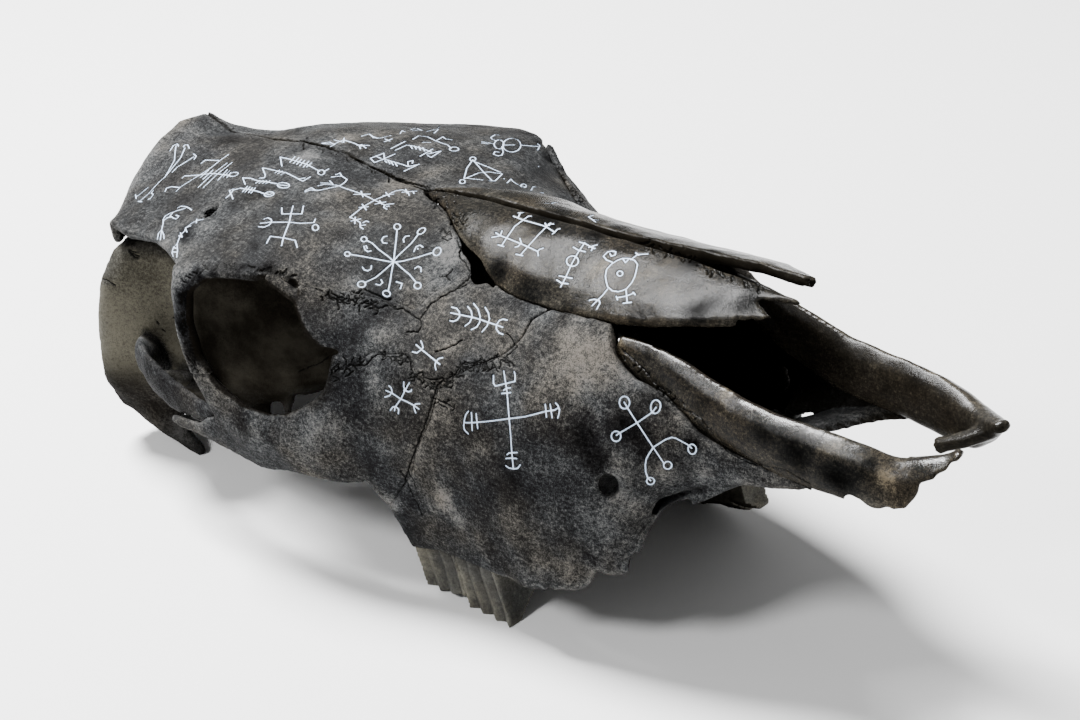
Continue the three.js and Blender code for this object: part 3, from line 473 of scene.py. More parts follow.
SIGNS["far_ringed_cross"] = [
    [(481.6, 141.4), (488.6, 142.3), (493.9, 143.5)], [(481.6, 142.6), (487.9, 143.3)], [(520.9, 144.7),
    (538.4, 146.1)], [(537.7, 143.2), (540, 145.4), (537.9, 149.5)], ring(511.9, 144.7, 9.1, 6.9),
    ring(499.1, 143.9, 4.9, 4.5), [(505.4, 144.6), (514.6, 144.4)], [(499.8, 134.7), (494.9, 134.4),
    (490.8, 136.8), (492.2, 138.9), (496.3, 140.4)], [(501.9, 146), (503.3, 151.6), (501.9, 154.7),
    (497.7, 155.4), (493.5, 153.7), (494.9, 151), (499.1, 151.7)],
]
SIGNS["far_triangle"] = [
    [(472.8, 159.3), (466.8, 167.7), (464, 178.2)], [(473.2, 159.6), (482.3, 170.2), (492.1, 180.2)],
    [(474.2, 161.1), (489.3, 167), (500.5, 171.9)], [(464.9, 178.2), (478.1, 172.6), (488.6, 171.4),
    (502.3, 173.5), (494.9, 180.5), (488.6, 180.5)], [(466.1, 177.7), (483, 179.6)],
    ring(472.8, 158.5, 2.9, 2), ring(462.3, 181.1, 2.7, 2.1), [(504, 178), (504.4, 178.5)], [(507, 182.5),
    (511.1, 178.4), (513.2, 181.2), (518.8, 184.6), (525.8, 186.7)], ring(523.7, 185.3, 2.7, 1.8),
    [(530.8, 190.2), (533.5, 186.1), (537, 186.8)], [(540, 191.9), (544, 192.7)], [(538.6, 165.8),
    (538.8, 166.2)],
]
SIGNS["far_scribbles"] = [
    [(321.9, 143), (333.7, 143.7), (343.4, 139.4), (353.1, 142.4), (361.2, 145.7)], [(321.9, 142.7),
    (329.6, 141.6), (334.7, 144)], [(330.6, 146), (335.2, 143.7)], [(333.7, 139.4), (343.9, 141.9)],
    [(343.9, 137.6), (343.5, 141.9)], [(357.1, 144.7), (369.4, 145)], [(359.2, 145.5), (360.4, 148.2)],
    [(361.2, 144), (365.8, 147.6)], [(361.2, 135.8), (369.4, 133.5), (373.5, 137.3), (380.6, 137.6),
    (390.8, 135)], [(383.9, 141.4), (392, 138.4)], [(384.7, 138.4), (390, 140.6)], [(371.4, 135.3),
    (377.8, 138)], [(370.4, 157.8), (383.7, 152.7), (384.3, 158.3), (374.5, 162), (370.4, 158)],
    [(376, 155.7), (381.1, 158)], [(375.5, 161.8), (394.9, 153.5)], [(384.7, 158.8), (402, 163.9),
    (408.2, 166.1), (418.9, 163.9)], [(404.1, 170.6), (418.9, 163.7)], [(408.2, 165.9), (407.7, 161.3),
    (413.1, 160), (412.2, 162.9)], [(384.9, 160.3), (386.7, 162)], [(388, 160.3), (390, 163.4)],
    [(391, 161.3), (393.1, 164.5)], [(395.1, 162.9), (397.1, 165.5)], [(391, 148.1), (405.1, 140.9)],
    [(395.1, 149.8), (406.3, 144.7), (413.3, 145.5), (426.5, 149.6), (431.6, 151.8)], [(410.4, 145),
    (412.2, 148.2)], [(414.5, 145.5), (416.3, 148.6)], [(418.6, 146), (420.4, 149.6)], [(422.7, 147),
    (424.7, 150.6)], [(420.1, 155.7), (432.7, 148.6)], [(426.7, 153.7), (440.8, 150.6), (431.1, 156.9),
    (427.6, 154.9)], [(412.8, 138.9), (418.4, 135.3), (427.6, 136.3), (435.7, 140.4), (448, 144.7),
    (451, 147.6)], [(422.7, 141.9), (430.6, 142)], [(435.7, 140.4), (442.9, 136.3), (445.9, 138.6),
    (452, 139.4)], ring(454.1, 148.6, 4.6, 2), [(410.4, 129.4), (416.3, 127.3), (422.4, 130.2)],
    [(412.4, 130.2), (420.4, 129.2)], [(433.9, 124.6), (440, 124.3), (437.8, 129.2), (433.9, 132.8)],
    [(442, 124.1), (449, 123.1)], [(426.7, 131.2), (437.8, 128.2)], [(400, 133.3), (402, 130.2),
    (405.1, 131.4)],
]
SIGNS["nasal_lattice"] = [
    [(531.1, 215.7), (528.2, 215.7), (524.2, 218.5), (514.4, 226), (506.4, 237.5), (501.2, 245.5)],
    [(497.8, 244.4), (503.5, 246.1)], [(546.6, 226), (537.4, 235.2), (527.1, 246.7), (520.2, 254.7)],
    [(515.6, 253.8), (522.5, 255.3)], [(553.5, 223.7), (548.9, 223.1), (546.6, 226), (544.9, 222.6)],
    [(548.9, 225.1), (550.3, 222.6)], [(513.3, 215.7), (523.6, 219.7), (542, 224.8), (546.6, 226.6),
    (554.6, 231.7), (556.7, 229.1), (559.8, 228.3)], [(552.3, 233.5), (554.6, 231.7)], [(518.1, 212.4),
    (523.6, 212.2)], [(520.2, 212.4), (517.9, 217)], [(491.5, 236.9), (496.1, 236.1), (500.1, 235.2),
    (506.4, 237.5), (520.2, 243.2), (528.2, 246.7), (537.4, 251), (538, 255.3)], [(495.5, 232.3),
    (500.1, 235.2), (501.8, 230.4)], [(519.6, 238), (521, 242.6), (517.9, 246.1), (515, 246.7)],
    [(537.4, 251), (539.1, 249), (542.9, 247.8)],
]
SIGNS["ringed_staff"] = [
    [(584.5, 242.3), (577.6, 252.4), (571.8, 262.7), (565, 277.7), (560.4, 286.5)],
    ring(572.2, 260.7, 6, 5.2), [(579.3, 241.5), (585, 243.2), (593.1, 247.8)], [(588.5, 246.9),
    (592.5, 245.5), (597.1, 244.4)], [(593.1, 245.7), (591.1, 250.1)], [(593.1, 247.8), (594.8, 248)],
    [(573, 246.7), (577.6, 249.5), (585, 251.3)], [(558.9, 275.4), (571.8, 277.9)], [(556.3, 279.4),
    (560.9, 282.5), (567.8, 283.4)],
]
SIGNS["ring_figure"] = [
    [(622.3, 257.9), (616.6, 260.2), (610.9, 263.9), (606.3, 269), (605.1, 275.4), (606, 281.1),
    (607.4, 286.3), (612, 290.3), (617.8, 291.2), (622.3, 290.1), (626.4, 288.2), (631.5, 282.2),
    (634.4, 276.5), (635.9, 270.8), (637.3, 263.9), (634.4, 259.9), (629.2, 258.1), (622.3, 257.9),
    (625.2, 262.2), (628.1, 259.3)], ring(619.7, 273.1, 2.8, 2.5), [(612, 261.8), (606.3, 259.5),
    (603.1, 255.8), (607.4, 251.5), (612, 250.6), (615.5, 251.3), (614.9, 254.5), (611.1, 255.8),
    (609.7, 253.2)], [(630.6, 259.3), (637.3, 254.1), (647.6, 253.5)], [(635.6, 252.4), (638.6, 254.7)],
    [(607.4, 288.6), (602.3, 294.9), (597.1, 300), (591.9, 305.2)], [(589.1, 300), (593.6, 298.9),
    (598.8, 300), (599.6, 302.9), (596.5, 308.6)], [(625.8, 289.7), (626.9, 302.3)], [(616.6, 297.4),
    (625.8, 295.6), (633.8, 292.6)], [(616, 296), (617.3, 299.5)], [(632.7, 291.8), (635, 294.4)],
    [(622.9, 302.9), (631, 301.9)],
]
SIGNS["far_nasal_marks"] = [
    [(545.4, 202.8), (551.2, 203), (555.8, 201.9), (560.4, 203.6), (569.5, 204.8)], [(593.6, 214.5),
    (588.5, 216.2), (593.1, 219.5), (595.9, 221.6)], [(593.6, 219.1), (598.5, 219.6)],
]
SIGNS["fishbone"] = [
    [(450.5, 312.5), (459, 314.3), (472, 317), (479.1, 318.9), (488.5, 322.3), (496.1, 324.6), (502.3, 327)],
    [(451.4, 306.7), (456.3, 308), (459, 311.6), (459.2, 316.5), (456.8, 319.6), (453.2, 321.1),
    (449.6, 320.5)], [(467.5, 306.2), (470.9, 310.7), (471.8, 317), (469.3, 322.3), (464.8, 325.7)],
    [(473.3, 303.1), (477.8, 308.9), (479.8, 316.1), (479.3, 322.3), (476.4, 326.8), (471.1, 329.3)],
    [(484.9, 307.1), (488, 312.5), (489.1, 318.8), (486.7, 325.9), (481.8, 331.4)], [(506.8, 319.8),
    (502.8, 318.8), (499.2, 320.1), (496.1, 324.6), (496.1, 329), (498.8, 332.6), (502.5, 334.1)],
]
SIGNS["double_fork"] = [
    [(412.1, 351.6), (416.6, 352.7), (421.1, 349.3), (422.7, 347.3), (421.8, 343.8), (420.4, 340.6)],
    [(415.7, 344.5), (421.1, 349.3), (428.2, 354.9), (435.4, 360.9), (439.4, 364.1)], [(442.3, 357.4),
    (438, 358.5), (435.5, 361.6), (434.6, 365.2), (435.5, 369.6)],
]
SIGNS["small_cross"] = [
    [(403.4, 390.4), (405, 389.7), (400.5, 399.1), (394.7, 407.1), (394.1, 410.7)], [(405, 390),
    (403.4, 387.5), (403.4, 382.1)], [(405, 390), (406.8, 386.6), (409, 383)], [(405, 390.4), (407.7, 391.8),
    (410.8, 391.1), (411.2, 389.7)], [(385.5, 390.6), (391.2, 393), (400.5, 399.1), (406.8, 401.8),
    (413.5, 405.4), (418.4, 409.1)], [(388.5, 385.9), (390.9, 387.9), (391.6, 392), (389.4, 395.7),
    (384.5, 397.3)], [(419.3, 403.8), (415.3, 404), (413.2, 405.8), (413.9, 408.9), (415.3, 412.9)],
    [(390, 410.4), (392.5, 407.1), (395.6, 406.7), (398.3, 409.4), (397.9, 413.8)],
]
SIGNS["great_cross"] = [
    [(503.4, 371), (504.9, 380.4), (506.6, 391.7), (508.7, 418.3), (510.1, 433.7), (511.1, 449.2),
    (512.9, 468.1)], [(493.1, 375.5), (493.1, 383.2), (495, 386), (504.8, 383.6), (514.6, 381.3),
    (514.8, 375.5), (513.9, 371.7)], [(503.1, 390.4), (506.2, 388.1), (510.1, 387.8)], [(501.3, 393.4),
    (510.4, 392.5)], [(464.8, 422.9), (471.8, 422.9), (486.6, 421.7), (508.7, 418.7), (525.2, 416.6),
    (545.5, 411.3), (554.6, 409.9), (557.8, 407.9)], [(468, 411.3), (465.5, 414.8), (464, 420.4),
    (463.3, 426), (464.1, 430.2), (468, 434.1)], [(471, 412.7), (471.8, 430.6)], [(475.7, 413.8),
    (477.3, 428.8)], [(544.9, 404.3), (546.1, 417.1)], [(549.8, 404.3), (551.7, 417.6)], [(555.2, 402.9),
    (557.8, 405.7), (559.2, 409.9), (558.5, 414.1), (557.3, 418)], [(506.6, 454.8), (508.7, 453.2),
    (516.7, 452.7)], [(505.4, 458.7), (509.7, 458.3), (516.4, 458.7)], [(505.5, 466), (508.3, 468.1),
    (513.2, 469.2), (517.4, 468.5), (519.9, 465)],
]
SIGNS["ringed_cross"] = [
    [(623.9, 402.2), (627.4, 408.1), (636.8, 422.9), (653, 447.8), (663.1, 462.9)],
    ring(624.2, 402.5, 5.2, 6.2), [(655.8, 407.4), (652.3, 412), (636.8, 422.9), (619.6, 433.1),
    (616.1, 435.5)], ring(655.3, 406.7, 4.9, 6.9, 10), ring(615.8, 436.4, 4.8, 5.1),
    ring(667.5, 465.7, 4.1, 3.8), [(691.5, 448.5), (688, 445.3), (681.7, 441.8), (675.8, 438.5),
    (671.6, 437.6), (665.9, 439.4), (660.3, 442.9), (653.3, 447.4), (649.1, 453.7), (646.3, 458.7),
    (645.2, 465), (645.6, 472), (647.7, 478.3), (650.5, 481.1)], ring(691.9, 449.5, 4.1, 5.1, -10),
    ring(650.5, 481.5, 3.9, 3.5),
]
print("strokes:", sum(len(strokes) for strokes in SIGNS.values()))

# %% [markdown]
# ## Seams and cracks
# Along the seams the edges of two bones knit into each other with crinkled fingers. From outside
# they show as dark hooks and ticks beside the seam itself. The long cracks are drawn point by
# point. The hooks are strewn along a path, and their dice are seeded, so they fall the same way
# every time.

# %% Cracks, in picture points
CRACKS = [
    [(300, 141.4), (318.4, 145.5), (333.7, 150.6), (353, 158.8), (369.4, 168.5), (381.6, 173.6),
     (391.8, 176.1), (398, 180.2), (415.3, 184.8), (427.6, 186.8)],
    [(424, 190.4), (431, 191.9), (439.8, 191.4), (449, 194), (459.2, 196)],
    [(434.6, 208.8), (437, 204.5), (442.7, 211.4)], [(431, 203.4), (436, 202), (439, 198), (447, 197)],
    [(441, 231), (444, 228), (446, 233), (450, 230), (452, 236)],
    [(443, 238), (447, 240), (452, 238)],
    [(458, 240), (461, 250), (459, 256), (465, 262), (470, 272), (468, 280), (461, 284), (455, 290)],
    [(385, 300), (394.7, 308.5), (404.1, 308.9), (413.9, 316.1), (419.3, 319.2), (424.6, 311.6),
     (430, 303.6), (437, 300), (446, 294), (455, 289), (466, 285)],
    [(419.3, 319.2), (421.5, 325.9), (418.4, 331.3), (406.8, 332.1)], [(430, 303.6), (428, 308), (425, 312)],
    [(440, 277), (447, 275), (453, 269)], [(446, 276), (450, 280)], [(365, 290), (380, 297), (395, 307)],
    [(303, 285), (313, 287), (322, 291)],
    [(506.8, 333), (512, 339.3), (516.6, 346.4), (512, 351.8), (505, 357.1), (496, 357), (482.7, 362.5),
     (464.8, 362.5), (458.6, 367.9), (451.4, 380.4), (446, 385.7), (435.4, 389.3)],
    [(355, 366), (365, 366), (375, 355), (380, 353.6), (390.7, 357.1), (401.4, 355.4), (404.1, 362.5),
     (407.7, 357.1), (411.3, 361.6), (411.3, 369.6), (415.7, 376.8), (422, 371.4), (422.9, 377.7),
     (428.2, 379.5), (435.4, 380.4), (441.6, 377.7), (447, 384.8)],
    [(436, 389), (430, 410), (419, 440), (410, 465), (404, 486)],
    [(432, 398), (440, 401), (452, 407)], [(438, 404), (447, 409)],
    [(622, 350), (634, 360), (646, 372), (655, 385), (662, 396), (670, 402), (680, 408), (692, 413),
     (700, 418), (716, 438), (730, 453), (750, 463), (768, 467), (785, 470), (799, 478), (810, 484)],
    [(187, 355), (190, 361), (197, 370)], [(95, 275), (105, 279), (115, 285)], [(400, 470), (411, 492),
    (422, 515)], [(408, 470), (416, 488)], [(300, 372), (311, 367), (322, 362), (329, 357)], [(436, 352),
    (450, 347), (462, 340)], [(598, 469), (598.5, 470)], [(674, 486), (676.5, 486.5)], [(190, 205.4),
    (191, 205.9)], [(206, 213), (216, 213)], [(207, 211), (215, 211)], [(207, 215), (215, 215)], [(209, 217),
    (213, 217)], [(157, 322), (159, 324)], [(173, 317), (175, 319)], [(163, 330), (165, 332)], [(129, 252),
    (139, 256)], [(131, 255), (138, 258)], [(130, 250), (136, 252)],
]
# Path, band beside it, spacing, length and lean in degrees
HOOKS = [
    ([(322, 291), (342, 297), (362, 301), (386, 306)], 6, 1.7, 7, 10),
    ([(329, 378), (345, 370), (362, 364)], 7, 1.4, 6, -25),
    ([(380, 354), (395, 357), (408, 360)], 4, 2, 4, 50),
    ([(412, 372), (425, 382), (440, 386)], 4, 2, 5, 60),
    ([(440, 388), (452, 378), (464, 364), (485, 362), (508, 356)], 5, 1.5, 7, 80),
    ([(450, 200), (462, 222), (452, 238)], 7, 2.6, 6, 20),
    ([(186, 283), (190, 276), (200, 272), (214, 269), (240, 269), (270, 271), (296, 279)], 2, 3.4, 5, -88),
    ([(184, 288), (183, 310), (187, 345)], 2, 4, 4, 88),
    ([(190, 360), (200, 372)], 4, 2, 4, 40),
    ([(436, 398), (452, 408)], 4, 3, 5, 10),
    ([(300, 142), (353, 159), (398, 180), (428, 187)], 1, 4.5, 5, 15),
    ([(640, 243), (700, 264), (760, 284), (800, 290)], 3, 3, 6, 8),
    ([(622, 352), (650, 378), (700, 420)], 3, 5, 4, 20),
]


def strewn(path, band, each, long, lean, seed):
    dice = random.Random(seed)
    found = []
    for a, b in zip(path, path[1:]):
        heading = math.atan2(b[1] - a[1], b[0] - a[0])
        for k in range(round(math.dist(a, b) / each)):
            along = dice.random()
            aside = dice.uniform(-band, band)
            u = a[0] + (b[0] - a[0]) * along - aside * math.sin(heading)
            v = a[1] + (b[1] - a[1]) * along + aside * math.cos(heading)
            angle = heading + math.radians(lean + dice.uniform(-25, 25))
            stroke = [(u, v)]
            for _ in range(dice.randint(2, 4)):
                step = long / 3 * dice.uniform(0.6, 1.3)
                angle += math.radians(dice.uniform(-55, 55))
                u, v = u + step * math.cos(angle), v + step * math.sin(angle)
                stroke.append((u, v))
            found.append(stroke)
    return found


crack_dice = random.Random(7)
crack_strokes = [shaken(stroke, crack_dice, *CRINKLED) for stroke in CRACKS]
for seed, hooks in enumerate(HOOKS):
    crack_strokes += strewn(*hooks, seed)
print("cracks and hooks:", len(crack_strokes))

# %% [markdown]
# A stroke is followed in small steps, and each step sends a ray to the bone. That gives a trail of
# points on the surface. The squares near a trail are divided, so that a cut less than a millimetre
# wide has a floor and two walls, and each corner keeps its distance from the trail for the paint.

# %% Carve
STEP = 0.35
NEAR_BONES = ["frontal_right", "frontal_left", "nasal_right", "nasal_left", "lacrimal_right",
              "zygomatic_right", "maxilla_right", "premaxilla_right"]
MIRRORED = ["lacrimal", "zygomatic", "maxilla"]


def first_bone(u, v, names):
    start, heading = camera.location, ray(u, v)
    best = None
    for name in names:
        hit, place, _, _ = bones[name].ray_cast(start, heading)
        if hit and (best is None or (place - start).length < best[0]):
            best = ((place - start).length, name, place.copy())
    return best


def trail(strokes, names):
    found = {name: [] for name in bones}
    for stroke in strokes:
        for a, b in zip(stroke, stroke[1:]):
            steps = max(1, round(math.dist(a, b) / STEP))
            for k in range(steps + 1):
                best = first_bone(*between(a, b, k, steps), names)
                if best:
                    found[best[1]].append(best[2])
    for name in MIRRORED:
        found[f"{name}_left"] = [Vector((-p.x, p.y, p.z)) for p in found[f"{name}_right"]]
    return found


def distances(points, tree, reach):
    found = np.full(len(points), reach, np.float32)
    for i, point in enumerate(points):
        gap = tree.find(point)[2]
        if gap < reach:
            found[i] = gap
    return found


def tree_of(points):
    tree = kdtree.KDTree(len(points))
    for i, point in enumerate(points):
        tree.insert(point, i)
    tree.balance()
    return tree


def divide_near(piece, tree, reach, cuts):
    mesh = piece.data
    near = distances(corners(mesh), tree, reach * 1.5) < reach
    starts = read(mesh.polygons, "loop_start", kind=np.int32)
    loops = read(mesh.loops, "vertex_index", kind=np.int32)
    chosen = np.maximum.reduceat(near[loops].astype(np.int8), starts) > 0
    only(piece)
    bpy.context.tool_settings.mesh_select_mode = (False, False, True)
    mesh.vertices.foreach_set("select", np.zeros(len(mesh.vertices), bool))
    mesh.edges.foreach_set("select", np.zeros(len(mesh.edges), bool))
    mesh.polygons.foreach_set("select", chosen)
    bpy.ops.object.mode_set(mode="EDIT")
    bpy.ops.mesh.subdivide(number_cuts=cuts)
    bpy.ops.object.mode_set(mode="OBJECT")


REACH = 3 * MM
DIVIDED, CUTS = 1.1 * MM, 2
GROOVE_LIP, GROOVE_BED = 0.75, 0.2
SIGN = {"width": 0.85 * MM, "depth": 0.3 * MM}
CRACK = {"width": 0.8 * MM, "depth": 0.6 * MM}
sign_trails = trail([stroke for strokes in SIGNS.values() for stroke in strokes], NEAR_BONES)
crack_trails = trail(crack_strokes, NEAR_BONES + ["braincase"])
for name, piece in bones.items():
    if sign_trails[name] or crack_trails[name]:
        divide_near(piece, tree_of(sign_trails[name] + crack_trails[name]), DIVIDED, CUTS)
    mesh = piece.data
    places = corners(mesh)
    inward = np.zeros(len(places), np.float32)
    for label, shape, trails in (("sign_gap", SIGN, sign_trails), ("crack_gap", CRACK, crack_trails)):
        gap = np.full(len(places), REACH, np.float32)
        if trails[name]:
            gap = distances(places, tree_of(trails[name]), REACH)
        cut = ramp(-gap, -shape["width"] * GROOVE_LIP, -shape["width"] * GROOVE_BED)
        inward = np.maximum(inward, shape["depth"] * cut)
        keep(mesh, label, gap / MM)
    set_corners(mesh, places - normals(mesh) * inward[:, None])
    print(piece.name, "squares now:", len(mesh.polygons))

# %% [markdown]
# ## Worn stain and painted light
# Handling rubs the stain off in patches, and further patches are painted highlights and painted
# shade. Each patch is a picture point, a reach, and how much paler, or darker below zero, the bone
# is at its heart. The rays carry the patches to the bone, and the hidden side gets the same ones
# mirrored.

# %% Rubbed, dark and painted light patches, in picture points
# Painted highlights: the pale spots along the snout's ridge and at its tip, on the nasal's shoulder, and,
# together with rubbed stain, high on the upper jaw. Painted shadow: the dark spots under the brow along the
# top and back of the eye socket. Painted dark reflection with darker stain: the dark spots along the nasal's
# lower face. The others are rubbed and darker stain.
WEAR_AND_PAINTED_LIGHT_PATCHES = [
    (640, 440, 28, -0.45), (590, 452, 34, -0.45), (560, 440, 22, -0.15), (540, 480, 18, -0.1),
    (524, 550, 22, -0.1), (512, 470, 12, -0.2), (700, 440, 18, -0.5), (585, 560, 12, -0.3),
    (622, 430, 18, -0.2), (500, 268, 22, -0.3), (530, 292, 30, -0.3), (575, 305, 20, -0.25),
    (640, 315, 20, -0.25), (705, 312, 26, -0.45), (745, 306, 20, -0.4), (765, 432, 24, -0.4),
    (800, 455, 32, -0.5), (845, 478, 30, -0.5), (700, 400, 16, -0.2), (862, 458, 8, -0.3),
    (740, 395, 9, -0.3), (418, 436, 14, -0.15), (260, 246, 20, -0.1), (360, 335, 16, -0.2),
    (240, 420, 24, -0.3), (300, 420, 12, -0.1), (270, 440, 16, -0.15), (230, 140, 30, -0.25),
    (252, 200, 28, -0.25), (340, 200, 28, -0.2), (190, 230, 26, -0.45), (230, 235, 24, -0.15),
    (345, 240, 24, -0.15), (490, 345, 16, -0.15), (181, 296, 22, -0.6), (182, 322, 22, -0.6),
    (189, 350, 22, -0.6), (194, 281, 16, -0.5), (214, 272, 14, -0.45), (240, 269, 14, -0.45),
    (266, 270, 14, -0.45), (292, 277, 10, -0.4), (560, 212, 30, -0.35), (760, 282, 34, -0.4),
    (705, 262, 22, -0.3), (620, 226, 20, -0.3), (580, 365, 60, 0.4), (630, 380, 34, 0.3),
    (455, 245, 24, 0.35), (470, 222, 14, 0.2), (385, 500, 24, 0.3), (450, 502, 28, 0.4),
    (480, 440, 20, 0.15), (395, 190, 34, 0.3), (300, 170, 24, 0.1), (455, 345, 16, 0.3),
    (622, 502, 8, 0.15), (545, 245, 26, 0.1), (605, 263, 26, 0.35), (645, 277, 18, 0.2),
    (680, 287, 24, 0.15), (330, 440, 40, 0.2), (380, 380, 30, 0.18), (660, 480, 22, 0.3),
    (700, 470, 26, 0.35), (740, 480, 22, 0.25), (640, 510, 18, 0.15), (560, 560, 18, 0.1),
    (882, 475, 18, 0.6), (440, 150, 34, 0.35), (348, 139, 26, 0.4), (430, 325, 24, 0.1),
    (900, 460, 14, 0.15), (720, 388, 12, 0.5), (800, 420, 14, 0.4), (830, 437, 14, 0.4),
    (690, 372, 12, 0.3), (400, 290, 20, 0.2), (520, 165, 24, 0.15), (560, 182, 20, 0.25),
    (345, 310, 26, 0.12), (380, 330, 24, 0.25), (440, 345, 18, 0.2),
]
wear_and_light_places = []
for u, v, reach, change in WEAR_AND_PAINTED_LIGHT_PATCHES:
    best = first_bone(u, v, NEAR_BONES)
    if best:
        for side in (1, -1):
            middle = np.array([best[2].x * side, best[2].y, best[2].z])
            wear_and_light_places.append((middle, reach / PIXELS_PER_METRE, change))
print("patches on both sides:", len(wear_and_light_places))

# %% [markdown]
# The rest follows from the shape. What stands out is rubbed paler, hollows are painted darker as
# shade, and tops keep a polish. The eye sockets, the inside of the nose and the undersides are
# painted near black, as deeper stain with painted shade. The walls of the temporal pits are tan,
# since less stain reached them, and where they face up they get less tan, painted darker against
# the top light. Two sets of waves keep the patches' edges uneven.

# %% Wear and painted light, polish, deep stain and painted shade
EYE = np.array([109, 68.7, 107.7]) * MM
EYE_REACH = 44 * MM
EVEN_TONE = 0.5
LEAST_POLISH = 0.08
DULLED = 1.8
HEART = 0.1
NASAL_SHEEN, NASAL_STAIN = 0.16, 0.02
SNOUT_DEPTH = 0.75
# Height, length and order of the axes
WAVES = ((2.5 * MM, 6.3 * MM, [1, 2, 0]), (1.6 * MM, 2.7 * MM, [2, 0, 1]))


def standing_out(mesh, rounds=25):
    places, links = corners(mesh), edges(mesh)
    return ((places - blurred(places, links, rounds)) * normals(mesh)).sum(axis=1) / MM


def near_middle(places, inner, outer):
    return ramp(-np.abs(places[:, 0]), -outer * MM, -inner * MM)


# Eye socket walls are painted dark: deeper stain together with painted shade
def eye_socket(places, facing, side):
    centre = np.stack([side * EYE[0], np.full(len(places), EYE[1]), np.full(len(places), EYE[2])], axis=1)
    there = centre - places
    away = np.linalg.norm(there[:, 1:], axis=1)
    towards = (there * facing).sum(axis=1) / np.linalg.norm(there, axis=1)
    towards = ramp(towards, 0.05, 0.35) * near_middle(places, 84, 93)
    level = (there[:, 1:] * facing[:, 1:]).sum(axis=1) / away
    return ramp(-away, -EYE_REACH, -EYE_REACH * 0.8) * np.maximum(towards, ramp(level, 0.4, 0.7))


# In the temporal pits the front of the braincase near the middle, the low parts and the undersides are
# painted dark as well, deeper stain with painted shade. The wear there is paler low down, and darker overall
# and away from the middle.
def temporal_pits(places, facing, out, below, wear_and_painted_light):
    enclosed = near_middle(places, 76, 84)
    deep_stain_and_shade = np.maximum(below, ramp(-places[:, 1], -170 * MM, -157 * MM) * enclosed)
    deep_stain_and_shade = np.maximum(deep_stain_and_shade, ramp(-places[:, 2], -60 * MM, -36 * MM) * 0.85)
    tan = enclosed * ramp(places[:, 2], 30 * MM, 50 * MM) * ramp(out, 0.2, 0.55)
    # Less tan where the walls face up, so they are painted darker against the top light: painted shade
    tan = tan * (1 - 0.6 * ramp(facing[:, 2], 0.05, 0.45))
    wear_and_painted_light = wear_and_painted_light + 0.3 * ramp(-places[:, 2], -104 * MM, -80 * MM) - 0.2 - 0.3 * (1 - enclosed)
    return deep_stain_and_shade, tan, wear_and_painted_light


for name, piece in bones.items():
    mesh = piece.data
    places, facing = corners(mesh), normals(mesh)
    side = np.sign(places[:, 0])
    out = facing[:, 0] * side
    # Up-facing parts a touch darker; what stands out is rubbed paler, and hollows are painted darker as
    # shade
    wear_and_painted_light = EVEN_TONE - 0.01 * facing[:, 2] + np.clip(0.3 * standing_out(mesh), -0.2, 0.15)
    # Undersides are painted darker: painted shade
    below = ramp(-facing[:, 2], 0.3, 0.8) * 0.5
    # Inward walls near the middle, as inside the nose, are painted dark: deeper stain with painted shade
    inside = ramp(-out, 0.25, 0.6) * near_middle(places, 70, 80)
    deep_stain_and_shade = np.maximum(np.maximum(eye_socket(places, facing, side), inside), below)
    tan = np.zeros(len(places))
    if name == "braincase":
        deep_stain_and_shade, tan, wear_and_painted_light = temporal_pits(places, facing, out, below, wear_and_painted_light)
    if "premaxilla" in name:
        deep_stain_and_shade = deep_stain_and_shade * SNOUT_DEPTH
    polish = (LEAST_POLISH + ramp(facing[:, 2], 0.3, 0.85)) * (1 - deep_stain_and_shade)
    if "nasal" in name:
        wear_and_painted_light, polish = wear_and_painted_light - NASAL_STAIN, polish * NASAL_SHEEN
    uneven = places
    for height, length, order in WAVES:
        uneven = uneven + height * np.sin(places[:, order] / length)
    for middle, reach, change in wear_and_light_places:
        share = ramp(-np.linalg.norm(uneven - middle, axis=1), -reach, -reach * HEART)
        wear_and_painted_light = wear_and_painted_light + change * share
        polish = polish * (1 + min(change, 0) * DULLED * share)
    keep(mesh, "wear_and_painted_light", np.clip(wear_and_painted_light, 0, 1))
    keep(mesh, "polish", np.clip(polish, 0, 1))
    keep(mesh, "deep_stain_and_shade", deep_stain_and_shade)
    keep(mesh, "tan", tan)
print("wear and depth kept on", len(bones), "pieces")

# %% [markdown]
# ## Materials
# Colours are read off the real thing as sRGB hex values and turned linear by one function. The
# stain runs from near black through brown grey to the paler bone where it is rubbed, and the same
# scale carries the painted highlights and shade. Hollows, eye sockets and undersides are mixed
# towards near black as deeper stain with painted shade. Fine pores speckle it, and cracks hold the
# darkest stain.

# %% Colour and node helpers


def linear(hexes):
    values = [int(hexes[i:i + 2], 16) / 255 for i in (1, 3, 5)]
    return [v / 12.92 if v <= 0.04045 else ((v + 0.055) / 1.055) ** 2.4 for v in values] + [1.0]


def add(tree, kind, inputs=None, **settings):
    made = tree.nodes.new(kind)
    for key, value in settings.items():
        setattr(made, key, value)
    for key, value in (inputs or {}).items():
        if isinstance(value, bpy.types.NodeSocket):
            tree.links.new(value, made.inputs[key])
        else:
            made.inputs[key].default_value = value
    return made


# %% Stained bone
SIGN_PALE = "#cbddf5"
SOOT = "#080807"
# Near black for hollows, eye sockets and undersides: deeper stain and painted shade
HOLLOW_STAIN_AND_SHADE = "#0d0b08"
TAN = "#504d43"
WARM = "#fff5e8"


